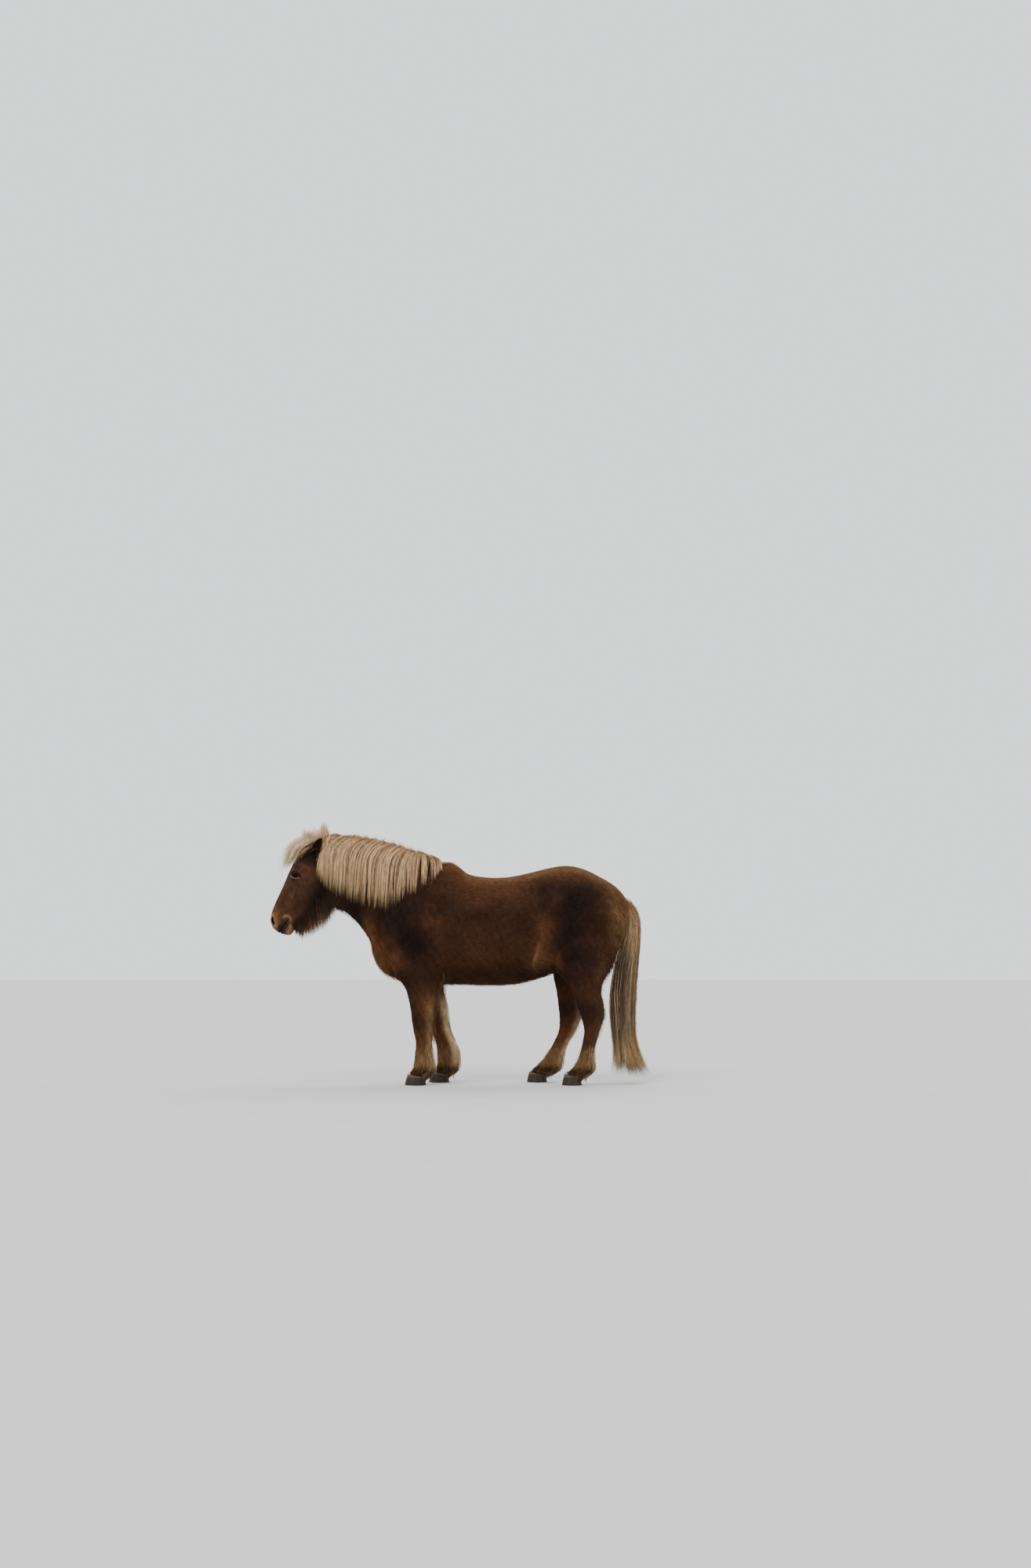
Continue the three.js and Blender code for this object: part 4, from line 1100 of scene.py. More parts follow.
def build_hair(name, paths, radii, colours, facing, spots, flat=0.55, look="long", replaces=(),
               sheen=None):
    """Closed three-sided strands. Paths are (n, k, 3) in millimetres, the last point is the tip.

    Facing is one way for all or one for each, by which a strand is flat. Spots are their places in the
    unwrap. Sheen is the way that the hair as a whole faces, by which it is shaded softly, or none."""
    n, k, _ = paths.shape
    along = unit(np.gradient(paths, axis=1))
    across = unit(np.cross(along, np.broadcast_to(facing, (n, 3)).astype(float)[:, None, :]))
    out = np.cross(across, along)
    tuft = k == 2
    common = {"Thickness": 1.0, "Flatness": flat, "Material": material(look)}
    if tuft:
        size = rows_of(radii[:, 0], radii[:, 0], np.linalg.norm(paths[:, 1] - paths[:, 0], axis=1)) / 1000
        values = {"along": along[:, 0], "out": out[:, 0], "size": size}
        made = growth(tuft).grow(name, metres(paths[:, 0]), np.zeros((0, 2)), values, Length=1.0, **common)
    else:
        thick = radii / 1000
        thick[:, -1] = 0
        first = (np.arange(n)[:, None] * k + np.arange(k - 1)).ravel()
        values = {"out": out.reshape(-1, 3), "thick": thick.ravel()}
        points = metres(paths.reshape(-1, 3))
        made = growth(tuft).grow(name, points, rows_of(first, first + 1), values, **common)
    mesh = made.data
    if len(mesh.vertices) != n * (3 * k - 2):
        raise RuntimeError(f"{name} has {len(mesh.vertices)} vertices instead of {n * (3 * k - 2)}")

    def each_vertex(rings, tip):
        # A cone has its tip first, a strand has it last
        return np.concatenate([tip, rings] if tuft else [rings, tip], -2)

    paint(mesh, each_vertex(np.repeat(colours[:, :-1], 3, axis=1), colours[:, -1:]).reshape(-1, 3))
    # Each strand has a small patch of the unwrap round its spot
    across_patch = np.tile([-PATCH, PATCH, 0.0], k - 1)
    along_patch = np.repeat(np.linspace(-PATCH, PATCH, k)[:-1], 3)
    local = each_vertex(rows_of(across_patch, along_patch), np.array([[0.0, PATCH]]))
    uv = (np.clip(spots, 0.003, 0.997)[:, None] + local[None]).reshape(-1, 2)
    index = read_array(mesh.loops, "vertex_index", 1, np.int32)[:, 0]
    mesh.uv_layers.new(name="OFBake").data.foreach_set("uv", uv[index].astype(np.float32).ravel())
    if sheen is not None:
        # The sides of a ring, in the order of its vertices
        turns = np.radians((90, 330, 210))
        ways = np.stack([(math.cos(a) * across + math.sin(a) * out)[:, :-1] for a in turns], 2)
        own = each_vertex(ways.reshape(n, (k - 1) * 3, 3), 0.5 * along[:, -1:])
        normals = unit(unit(sheen)[:, None] + 0.75 * own).reshape(-1, 3)
        mesh.normals_split_custom_set_from_vertices(normals.astype(np.float32).tolist())
    return finish_piece(made, look, replaces)


def taper(k, start=0.75, full=0.25, power=1.6):
    """The share of a strand's thickness at each of its k points."""
    s = np.linspace(0, 1, k)
    late = np.clip((s - full) / (1 - full), 0, 1)
    return np.where(s < full, mix(start, 1, s / full), 1 - 0.92 * late**power)


def resample(points, k):
    """Smooth paths with k points. Each of the given points is one array of places for all paths."""
    flat = np.stack(points).reshape(len(points), -1)
    return np.swapaxes(follow(flat, np.linspace(0, 1, k)).reshape(k, -1, 3), 0, 1)


def vary(random, colours, amount):
    """Makes each strand a little lighter or darker, and keeps its hue."""
    colours = colours * np.exp(random.normal(0, amount, (len(colours), 1, 1)))
    return np.maximum(colours / np.maximum(colours.max(-1, keepdims=True) / 0.9, 1), 0.001)


def shares(random, count, low=0.0, high=1.0):
    """A random share for each strand, which goes with its points' colours."""
    return random.uniform(low, high, (count, 1, 1))


def along_strand(k):
    """From 0 at the root to 1 at the tip, for k points of each strand."""
    return np.linspace(0, 1, k)[None, :, None]


class Surface:
    """The skin's triangles, for roots of tufts."""

    def __init__(self, obj):
        verts, self.normals, _ = mesh_arrays(obj.data)
        self.verts = millimetres(verts)
        self.faces = read_array(obj.data.polygons, "vertices", 3, np.int32)
        a, b, c = (self.verts[self.faces[:, i]] for i in range(3))
        self.area = 0.5 * np.linalg.norm(np.cross(b - a, c - a), axis=1)
        self.middle = (a + b + c) / 3
        self.facing = unit(self.normals[self.faces].mean(1))

    def scatter(self, random, count, weight):
        """Places and normals of so many roots, closer together where the weight is high."""
        total = np.cumsum(self.area * weight)
        # Even steps along the running sum keep the roots evenly spread
        at = (np.arange(count) + random.uniform(0, 1, count)) * (total[-1] / count)
        i = np.minimum(np.searchsorted(total, at), len(total) - 1)
        r, s = random.uniform(0, 1, (2, count))
        fold = r + s > 1
        r, s = np.where(fold, 1 - r, r), np.where(fold, 1 - s, s)
        w = rows_of(1 - r - s, r, s)[..., None]
        f = self.faces[i]
        return (self.verts[f] * w).sum(1), unit((self.normals[f] * w).sum(1))


def plane_side(x, z, a, b):
    """How far places are in front of the line from a to b, in millimetres."""
    length = math.hypot(b[0] - a[0], b[1] - a[1])
    return ((b[0] - a[0]) * (z - a[1]) - (b[1] - a[1]) * (x - a[0])) / length


# Two places on the line behind the head, and two on the line before the shoulder
THROAT = (-862, 1570), (-782, 1090)
SHOULDER = (-120, 1440), (-575, 800)


def regions(p):
    """Where head, neck, legs and the rest are, at places in millimetres."""
    x, z = p[:, 0], p[:, 2]
    is_head = plane_side(x, z, *THROAT) < 0
    is_neck = ~is_head & (plane_side(x, z, *SHOULDER) < 0)
    leg = (z < 640) & ((x < -60) | (x > 575)) | (z < 600)
    return is_head & (z > 700), is_neck & ~leg, leg & (z < 700), ~(is_head | is_neck | leg)


# The coat's ways in the side view, towards the tail and up, and how strong each is at a place
LIE_PATCHES = [
    ((0.45, -0.9), 2, (-330, 950, 170, 230, 0)),
    ((0.1, -1.0), 3, (-520, 820, 90, 160, 0)),
    ((0.2, -1.0), 5, (-800, 1140, 60, 60, 0)),
    ((0.35, -0.94), 1.2, (150, 850, 330, 170, 0)),
    ((0.5, -0.86), 2, (830, 950, 230, 220, 0)),
]


def lie(p, normal, random):
    """The way the coat lies at places of the skin, along the skin."""
    x, z = p[:, 0], p[:, 2]
    rise, face = head_place(x, z)[1], head_share(p)
    ways = [
        ((0.93, -0.36), 1.0 * ramp(z, 560, 720)),
        ((0.62, -0.78), 3 * ramp(x, -330, -520) * ramp(z, 800, 950)),
        *((way, strength * patch(x, z, row)) for way, strength, row in LIE_PATCHES),
        ((0.14, -0.99), 6 * ramp(z, 760, 620) * ((x < -60) | (x > 575))),
        ((0.14, -0.99), 6 * ramp(z, 600, 560)),
        ((-0.41, -0.91), 12 * face * ramp(rise, -130, -70)),
        ((0.3, -0.95), 8 * face * ramp(rise, -90, -150)),
    ]
    way = sum(rows_of(dx * share, 0, dz * share) for (dx, dz), share in ways)
    way += ramp(normal[:, 2], -0.5, -0.9)[:, None] * [0.8, 0, 0]
    ears = ear_share(p)
    for sign in SIDES.values():
        own = (ears * (np.sign(p[:, 1]) == sign))[:, None]
        way = mix(way, ear_frame(sign)[3] * 4, own)
    way = unit(way)
    swirl = 0.14 * ripple(p, 150, 21) + 0.10 * ripple(p, 45, 22) + random.normal(0, 0.13, len(p))
    way = way + np.cross(normal, way) * swirl[:, None]
    return unit(way - (way * normal).sum(1, keepdims=True) * normal)


# The length of the coat on the barrel, unless the setting says another one
BARREL_COAT = 27.0


def coat_length(p, normal):
    """The length of the coat at places of the skin, in millimetres."""
    x, z = p[:, 0], p[:, 2]
    along, rise = head_place(x, z)
    face = layered(10.5, (20.0, ramp(rise, -170, -270)), (5.0, ramp(along, 420, 540)))
    for sign in SIDES.values():
        far = np.linalg.norm(p - eye_centre(sign), axis=1)
        face = mix(face, 4.5, ramp(far, 60, 35))
    return layered(
        BARREL_COAT,
        (38.0, ramp(normal[:, 2], -0.3, -0.85) * ramp(z, 560, 620)),
        (44.0, patch(x, z, (-500, 770, 90, 110, 0))),
        (40.0, patch(x, z, (-805, 1150, 45, 60, 0))),
        (44.0, ramp(normal[:, 0], 0.3, 0.7) * ramp(z, 640, 720) * ramp(z, 1120, 1020)),
        (22.0, ramp(z, 700, 560)),
        (17.0, ramp(z, 440, 330)),
        (27.0, ramp(z, 210, 120)),
        (face, head_share(p)),
        (8.0, ear_share(p)),
    )


def coat_weight(p, normal):
    """How closely tufts stand at places of the skin."""
    x, z = p[:, 0], p[:, 2]
    weight = (BARREL_COAT / coat_length(p, normal)) ** 1.3
    along, rise = head_place(x, z)
    on_face = head_share(p) > 0.3
    weight *= np.where(on_face, ramp(nostril_place(along, rise), 1.2, 1.5), 1)
    for sign in SIDES.values():
        opening = almond(x, z, eye_centre(sign))[0]
        weight *= np.where((np.sign(p[:, 1]) == sign) & on_face, ramp(opening, 1.2, 1.4), 1)
    lip = np.abs(rise - mouth_height(along))
    weight *= np.where(on_face & (along > 500), ramp(lip, 3, 9), 1)
    weight *= (1 - 0.75 * ear_cup_share(p)) * ramp(z, 36, 48)
    under_mane = (x > -830) & (x < -300) & (p[:, 1] < -20) & (z > 1250)
    return weight * np.where(under_mane, 0.4, 1)


def unwrap(p, kind):
    """An unwrap of the skin for one piece of coat: each half round its own middle line."""
    x, y, z = p.T

    def chart(along, height, wide):
        v = 0.5 + np.arctan2(height, wide * np.abs(y) + 1e-6) / math.pi
        u = 0.01 + 0.98 * np.clip(along, 0, 1)
        return rows_of(u, v if kind == "body" else 0.5 * v + 0.5 * (y > 0))

    if kind == "head":
        along, rise = head_place(x, z)
        return chart((along + 170) / 800, rise + 150, 1)
    if kind == "neck":
        middle = np.interp(x, [-900, -650, -400, -160], [1350, 1310, 1200, 1080])
        return chart(plane_side(x, z, *THROAT) / 560, z - middle, 1.6)
    if kind == "legs":
        column = 1.0 * (y > 0) + 2.0 * (x > 250)
        middle = np.zeros(len(p))
        for aside, rows, _ in LEGS.values():
            own = (np.sign(y) == np.sign(aside)) & ((x > 250) == (rows[0][0] > 0))
            middle = np.where(own, leg_line(rows, z)[0], middle)
        turn = (np.arctan2(np.abs(y) - 135, x - middle) / (2 * math.pi)) % 1
        return rows_of((column + 0.02 + 0.96 * turn) / 4, 0.01 + 0.98 * np.clip(z / 720, 0, 1))
    return chart((x - x.min()) / max(np.ptp(x), 1), z - 1000, 1.3)


def build_tufts(name, p, normal, random, kind, long=False):
    """Thin closed tufts at roots p that follow the lie of the coat. Long ones bend and hang."""
    count, uneven = len(p), kind == "head"
    way = lie(p, normal, random)
    longer = settings().coat_length * 1000 / BARREL_COAT * (1.35 if long else 1)
    length = coat_length(p, normal) * longer * random.uniform(0.7, 1.25, count)
    lump = ripple(p, 34, 41)
    leg = ramp(p[:, 2], 520, 380) * (p[:, 2] > 60)
    lift = length * np.clip(random.normal(0.11, 0.035, count) + 0.015 * lump + 0.15 * leg, 0.03, 0.4)
    root = p - normal * 0.8
    # Lighter and darker tufts, a few much lighter, and some redder
    shade = random.normal(0, 0.28 if uneven else 0.21, count) + 0.04 * lump
    shade = np.exp(shade + 0.5 * (random.uniform(0, 1, count) < 0.06))
    red = 1 + random.normal(0, 0.05, count)
    tone = coat_colour(p) * shade[:, None] * rows_of(red, 1, 1 / red)
    tilt = random.normal(0, 0.3 if uneven else 0.2, (2, count, 1))
    sheen = unit(normal + 0.2 * way + tilt[0] * np.cross(normal, way) + tilt[1] * way)
    wide = np.clip(0.042 * length, 0.32, 1.35) * random.uniform(0.75, 1.3, count)
    reach = way * length[:, None]
    if long:
        hang = ramp(normal[:, 2], -0.2, -0.8) * length
        middle = root + 0.5 * reach + normal * lift[:, None]
        middle[:, 2] -= hang * 0.08
        tip = root + reach + normal * (lift * random.uniform(0.6, 1.3, count))[:, None]
        tip[:, 2] -= hang * 0.28
        points, shades, widths = [root, middle, tip], (0.8, 1, 1.25), (1.0, 0.85, 0.0)
    else:
        tip = root + reach + normal * lift[:, None]
        tip[:, 2] = np.maximum(tip[:, 2], 4)
        points, shades, widths = [root, tip], (0.85, 1.15), (1.0, 0.0)
    tones = np.clip(np.stack([tone * s for s in shades], 1), 0.001, 0.95)
    radii = wide[:, None] * np.array(widths)
    return build_hair(name, np.stack(points, 1), radii, tones, normal, unwrap(p, kind), 0.5, "coat",
                      sheen=sheen)


def long_weight(p, normal):
    """Where the coat is long: under the belly, at the chest, the jaw, the buttocks and behind the legs."""
    x, z = p[:, 0], p[:, 2]
    along, rise = head_place(x, z)
    down, back = normal[:, 2], ramp(normal[:, 0], 0.3, 0.8)
    return np.max([
        0.9 * ramp(down, -0.35, -0.75) * ramp(z, 560, 620) * (x > -560),
        1.2 * patch(x, z, (-500, 790, 70, 150, 20)),
        1.6 * patch(x, z, (-800, 1140, 60, 60, 0)) * ramp(down, 0.3, -0.3),
        0.7 * back * ramp(z, 420, 520) * ramp(z, 1250, 1150),
        0.6 * back * (z < 560) * ramp(z, 120, 180),
        0.9 * head_share(p) * ramp(rise, -235, -275) * ramp(along, 470, 380),
        0.35 * (x > -830) * (x < -480) * ramp(down, 0.1, -0.4),
    ], axis=0)


def build_coat(skin):
    tufts = settings().tufts
    random = np.random.default_rng(12)
    surface = Surface(skin)
    weight = coat_weight(surface.middle, surface.facing)
    is_head, is_neck, is_leg, is_body = regions(surface.middle)
    x, y = surface.middle[:, 0], surface.middle[:, 1]
    pieces = {
        "coat_head": (is_head, 1.05, "head"),
        "coat_neck": (is_neck, 0.75, "neck"),
        "coat_legs": (is_leg, 0.85, "legs"),
        "coat_barrel_left": (is_body & (y < 0) & (x < 480), 0.85, "body"),
        "coat_barrel_right": (is_body & (y >= 0) & (x < 480), 0.85, "body"),
        "coat_rump": (is_body & (x >= 480), 0.88, "body"),
    }
    made = []
    for name, (own, share, kind) in pieces.items():
        p, normal = surface.scatter(random, int(tufts * share), weight * own)
        made.append(build_tufts(name, p, normal, random, kind))
    p, normal = surface.scatter(random, int(tufts * 0.34), long_weight(surface.middle, surface.facing))
    return [*made, build_tufts("coat_fringe", p, normal, random, "body", True)]


# Long hair

MANE_FALL = np.array([
    (-850, -902, 1322), (-793, -873, 1284), (-740, -850, 1256), (-680, -805, 1224), (-610, -740, 1186),
    (-549, -674, 1154), (-500, -620, 1138), (-438, -556, 1128), (-390, -507, 1110), (-349, -461, 1098),
    (-310, -390, 1146), (-280, -335, 1190), (-258, -298, 1206), (-245, -262, 1216), (-232, -226, 1262),
    (-218, -180, 1280), (-200, -146, 1322), (-176, -118, 1366), (-150, -100, 1392),
], float)


def crest_height(x):
    p = neck.station(np.linspace(0, 1, 200))[0]
    order = np.argsort(p[:, 0])
    return np.interp(x, p[order, 0], p[order, 1])


def back_height(x):
    """The top line of the neck and the back in the side view."""
    p = torso.station(np.linspace(0.2, 0.9, 300))[0]
    return np.maximum(crest_height(x) * (np.asarray(x) < -60), np.interp(x, p[:, 0], p[:, 1]))


def clumped(random, count, clumps):
    """Which clump each strand belongs to, and its own place in it, from the middle outwards."""
    return np.sort(random.integers(0, clumps, count)), random.normal(0, 1, (count, 2))


def mane_strands(name, sign, count, clumps, seed, outer, thick, loose=0.0):
    """One layer of the mane on one side, from the crest over the flank of the neck."""
    random = np.random.default_rng(seed)
    own, scatter = clumped(random, count, clumps)
    middle = (np.arange(clumps) + random.uniform(0.0, 1.0, clumps)) / clumps
    # Roots stand closer together towards the withers
    centre = np.interp(middle, [0, 0.3, 0.78, 0.93, 1], [-850, -700, -349, -232, -165])
    root_x = np.clip(centre[own] + scatter[:, 0] * 7, -856, -150)
    inner = ramp(np.abs(scatter[:, 0]), 1.9, 0.3)
    layer = (random.uniform(0.3, 1, clumps) if outer else random.uniform(0, 0.4, clumps))[own]
    crest_z = crest_height(centre)
    tip_x = np.interp(centre, MANE_FALL[:, 0], MANE_FALL[:, 1]) + random.normal(0, 9, clumps)
    full_z = np.interp(centre, MANE_FALL[:, 0], MANE_FALL[:, 2])
    short = random.uniform(0, 1, clumps) ** 2.2
    tip_z = full_z + short * 0.22 * (crest_z - full_z) * (0.7 if outer else 1.0) - 26
    if sign > 0:
        tip_z = mix(crest_z, full_z, random.uniform(0.3, 0.5, clumps))
        tip_x = centre - 40 + random.normal(0, 14, clumps)
    own_short = random.uniform(0, 1, count) ** 2.5 * 0.26
    wave, phase = random.uniform(2, 7, clumps)[own], random.uniform(0, 6.28, clumps)[own]
    curl = random.normal(0, 1, (count, 2)) * (1.2 + 3.5 * loose)
    root_z = crest_height(root_x)
    arch = (random.normal(0, 4, clumps)[own] + random.uniform(-3, 4, count)
            + 9 * loose * random.uniform(0, 1, count))
    # How far the hair sweeps towards the head before it falls
    flat = random.uniform(0.75, 1.0, clumps)[own] * ramp(root_x, -870, -780)
    high = 20 * ramp(root_x, -720, -830)
    points = [
        rows_of(root_x + 8, scatter[:, 1] * 4, root_z - 14),
        rows_of(root_x - 8, sign * (9 + layer * 13), root_z + 10 + layer * 17 + arch + high),
    ]
    side = 20 + layer * 19
    for s in (0.1, 0.2, 0.32, 0.46, 0.62, 0.8, 1.0):
        at = s * (1 - own_short)
        bend = 1 - (1 - np.clip(at / 0.52, 0, 1)) ** 2.4
        width = mix(7.5, 2.4, at**1.6) * (1 + 1.2 * loose)
        sway = wave * np.sin(phase + 5.5 * s) * s
        swept = mix(root_x, tip_x[own], bend * flat + (1 - flat) * at)
        x = swept + scatter[:, 0] * (width - 7 * (1 - s)) + sway
        x = x + curl[:, 0] * 2.4 * np.sin(9 * s + phase) * s
        z = mix(root_z + (24 + high) * (1 - at), tip_z[own], at**1.42)
        side = np.maximum(side, flank(x, z) + 2 + layer * 18 + inner * 5)
        aside = side + width * 0.32 * scatter[:, 1] + 2 + np.abs(curl[:, 1]) * 2 * loose * s
        points.append(rows_of(x, sign * aside, z))
    k = 9 if outer else 7
    radii = (random.uniform(0.7, 1.25, count) * thick)[:, None] * taper(k, 0.6)
    pale, rust, brown_hair_and_shade = hue("flaxen"), hue("rust"), hue("shadow_hair")
    s = along_strand(k)
    streak = (random.uniform(0, 1, clumps) ** 2)[own][:, None, None]
    rusty, dark = shares(random, count, 0.4, 1), shares(random, count)
    colours = layered(
        np.tile(pale, (count, k, 1)),
        (rust, 0.95 * ramp(s, 0.5, 0.1) * rusty),
        (rust * 0.8, 0.6 * streak * ramp(s, 0.1, 0.4)),
        # Grey brown strands: partly the mane's own darker hair, partly painted shade of the gaps between
        # locks
        (brown_hair_and_shade, (dark < 0.26) * 0.75),
        (rust * 0.5, (dark > 0.9) * 0.75),
        (brown_hair_and_shade, 0.1 * ramp(s, 0.7, 1)),
        (rust, 0.12 * ramp(root_x, -300, -190)[:, None, None]),
    )
    colours = colours * np.exp(random.normal(0.14, 0.3, clumps))[own][:, None, None]
    # Outer locks are painted lighter in the middle and darker at the edges, painted highlight and shade; the
    # under layer is much darker
    colours = colours * mix(0.5, 1.2, inner)[:, None, None] if outer else colours * 0.3
    spots = rows_of((root_x + 860) / 750, 0.5 + 0.14 * scatter[:, 1])
    colours = vary(random, colours, 0.28)
    return build_hair(name, resample(points, k), radii, colours, [0, sign, 0.35], spots, 0.45)


def mane_fluff():
    """Short hair that stands and sweeps along the crest, and falls back over the withers."""
    random = np.random.default_rng(77)
    count, k = 2300, 5
    withers = random.uniform(0, 1, count) < 0.3
    over_withers, over_crest = random.uniform(-320, -90, count), random.uniform(0, 1, count) ** 0.75
    root_x = np.where(withers, over_withers, mix(-860, -220, over_crest))
    root_z = back_height(root_x)
    y = random.normal(0, 9, count)
    long = np.where(withers, random.uniform(50, 120, count), random.uniform(34, 76, count))
    # Small tufts lean their own way
    lean = -0.35 + 0.5 * np.sin(root_x / 9.0) + random.normal(0, 0.25, count)
    aside = np.sign(y) * random.uniform(0.1, 0.7, count)
    way = unit(rows_of(np.where(withers, 1.0, lean), aside * 0.6, np.where(withers, 0.1, 0.95)))
    start = rows_of(root_x, y * 0.5, root_z - 14)
    points = [start]
    for s in (0.5, 1.0):
        p = start + way * (s * long)[:, None]
        rest = back_height(p[:, 0]) + random.uniform(0, 12, count) * s - 0.011 * p[:, 1] ** 2
        p[:, 2] = np.where(withers, rest, p[:, 2] + 10 * s * (1.3 - s))
        points.append(p)
    radii = random.uniform(0.5, 0.95, count)[:, None] * taper(k)
    colours = layered(
        hue("rust"),
        (hue("flaxen"), ramp(along_strand(k), 0.2, 0.9) * shares(random, count, 0.0, 0.8)),
        (hue("golden") * 2.0, (withers * random.uniform(0.2, 0.9, count))[:, None, None]),
    )
    spots = rows_of((root_x + 860) / 780, 0.5 + y / 60)
    colours = vary(random, colours, 0.3)
    return build_hair("mane_crest", resample(points, k), radii, colours, [0.2, 1.0, 0.3], spots, 0.6)


def build_mane():
    n = settings().mane_strands
    return [
        mane_strands("mane_under", -1, int(n * 0.17), 60, 71, False, 1.9),
        mane_strands("mane_left_a", -1, int(n * 0.40), 92, 72, True, 0.76),
        mane_strands("mane_left_b", -1, int(n * 0.36), 84, 73, True, 0.64, 0.15),
        mane_strands("mane_loose", -1, int(n * 0.05), 140, 74, True, 0.5, 1.0),
        mane_strands("mane_right", 1, int(n * 0.10), 40, 75, True, 0.95, 0.3),
        mane_fluff(),
    ]


# The top and the lowest lock of the forelock, along the head and up from it, from root to tip
FORELOCK_ROWS = np.array([
    [(-4, -118), (-46, -40), (24, 42), (128, 78), (268, 57)],
    [(10, -118), (-16, -84), (46, -32), (112, -2), (222, 8)],
], float)
# For each of these points, how wide a lock is, how wide all lie and how far the outer ones hang down
FORELOCK_SPREAD = [(10, 0.8, 0), (13, 1.1, 10), (13, 1.25, 20), (12, 1.3, 24), (9, 1.3, 22)]
# The tips of the tuft at the poll, and how many of its strands go there
POLL_TIPS = np.array([
    (-871, -4, 1678), (-880, -26, 1646), (-882, 26, 1640), (-932, -12, 1640), (-975, 10, 1636),
    (-848, 0, 1626), (-1004, -16, 1630), (-955, 22, 1630), (-905, 0, 1630), (-1024, 6, 1612),
    (-860, -10, 1660),
], float)
POLL_SHARES = np.array([4, 2, 2, 2, 2, 1, 2, 2, 1, 2, 2]) / 22


def build_forelock():
    random = np.random.default_rng(81)
    return [forelock_strands(random), poll_strands(random), temple_strands(random)]


def forelock_strands(random):
    count, clumps, k = settings().forelock_strands, 110, 9
    own, scatter = clumped(random, count, clumps)
    row = random.uniform(0, 1, clumps) ** 1.15
    side = np.clip(random.normal(0, 0.62, clumps), -1.35, 1.35)
    reach = 1 - 0.3 * random.uniform(0, 1, clumps) ** 2 - 0.1 * np.abs(side)
    phase, swing = random.uniform(0, 6.28, clumps), random.uniform(2, 8, clumps)
    bushy = random.normal(0, 6, clumps)
    points = []
    for i, (width, wide, hang) in enumerate(FORELOCK_SPREAD):
        along, rise = mix(FORELOCK_ROWS[0, i], FORELOCK_ROWS[1, i], row[own][:, None]).T
        if i > 2:
            along = along * reach[own] * random.uniform(0.88, 1.04, count)
        wave = (swing * np.sin(phase + 1.9 * i))[own]
        rise = rise - hang * side[own] ** 2 + scatter[:, 0] * width * 0.5
        rise = rise + (wave * 0.6 + bushy[own] if i > 0 else 0)
        x, z = on_head(along + scatter[:, 0] * 4, rise)
        points.append(rows_of(x, side[own] * 34 * wide + scatter[:, 1] * width + wave, z))
    radii = random.uniform(0.5, 0.9, count)[:, None] * taper(k)
    s = along_strand(k)
    rusty = shares(random, count)
    colours = layered(
        np.tile(hue("forelock_pale"), (count, k, 1)),
        (hue("rust"), 0.85 * ramp(s, 0.5, 0.05) * rusty),
        (hue("flaxen"), shares(random, count, 0, 0.65)),
        (hue("rust"), (rusty > 0.85) * 0.6),
        # Painted shade on the inner locks, which lie under the others against the forehead
        (hue("shadow_hair") * 0.5, 0.85 * ramp(row, 0.6, 1)[own][:, None, None] * ramp(s, 0.1, 0.4)),
    )
    spots = rows_of(0.5 + 0.35 * side[own] + 0.03 * scatter[:, 1], 0.5 + 0.15 * scatter[:, 0])
    facing = unit(rows_of(-0.9, 0.7 * side[own], 0.4))
    colours = vary(random, colours, 0.22)
    return build_hair("forelock", resample(points, k), radii, colours, facing, spots)


def poll_strands(random):
    """The tuft of hair that stands at the poll."""
    count, k = int(settings().forelock_strands * 0.5), 7
    own = random.choice(len(POLL_TIPS), count, p=POLL_SHARES)
    scatter = random.normal(0, 1, (count, 3))
    short = random.uniform(0, 1, (count, 1)) ** 2 * 0.5
    tip = POLL_TIPS[own]
    base = np.array([-892.0, 0, 1505]) + scatter * [14, 12, 3]
    base[:, 0] += (tip[:, 0] + 892) * 0.35
    base[:, 1] += tip[:, 1] * 0.5
    tip = mix(tip, base, short)
    curl = random.normal(0, 7, (len(POLL_TIPS), 3))[own]
    points = [
        base,
        mix(base, tip, 0.35) + scatter * [8, 8, 0] + [0, 0, 8],
        mix(base, tip, 0.75) + scatter * [9, 9, 0] + curl,
        tip + random.normal(0, 1, (count, 3)) * [11, 9, 5],
    ]
    paths = resample(points, k)
    paths[:, :, 2] = np.minimum(paths[:, :, 2], 1681)
    radii = random.uniform(0.5, 0.95, count)[:, None] * taper(k, power=2.2)
    share = 0.08 + 0.85 * ramp(along_strand(k), 0.1, 0.7) * shares(random, count, 0.1, 1)
    colours = mix(hue("rust"), hue("forelock_pale") * [1, 0.9, 0.75], share)
    spots = rows_of(0.5 + 0.1 * scatter[:, 0], 0.5 + 0.1 * scatter[:, 1])
    return build_hair("poll_tuft", paths, radii, vary(random, colours, 0.24), [0.3, 1.0, 0], spots)


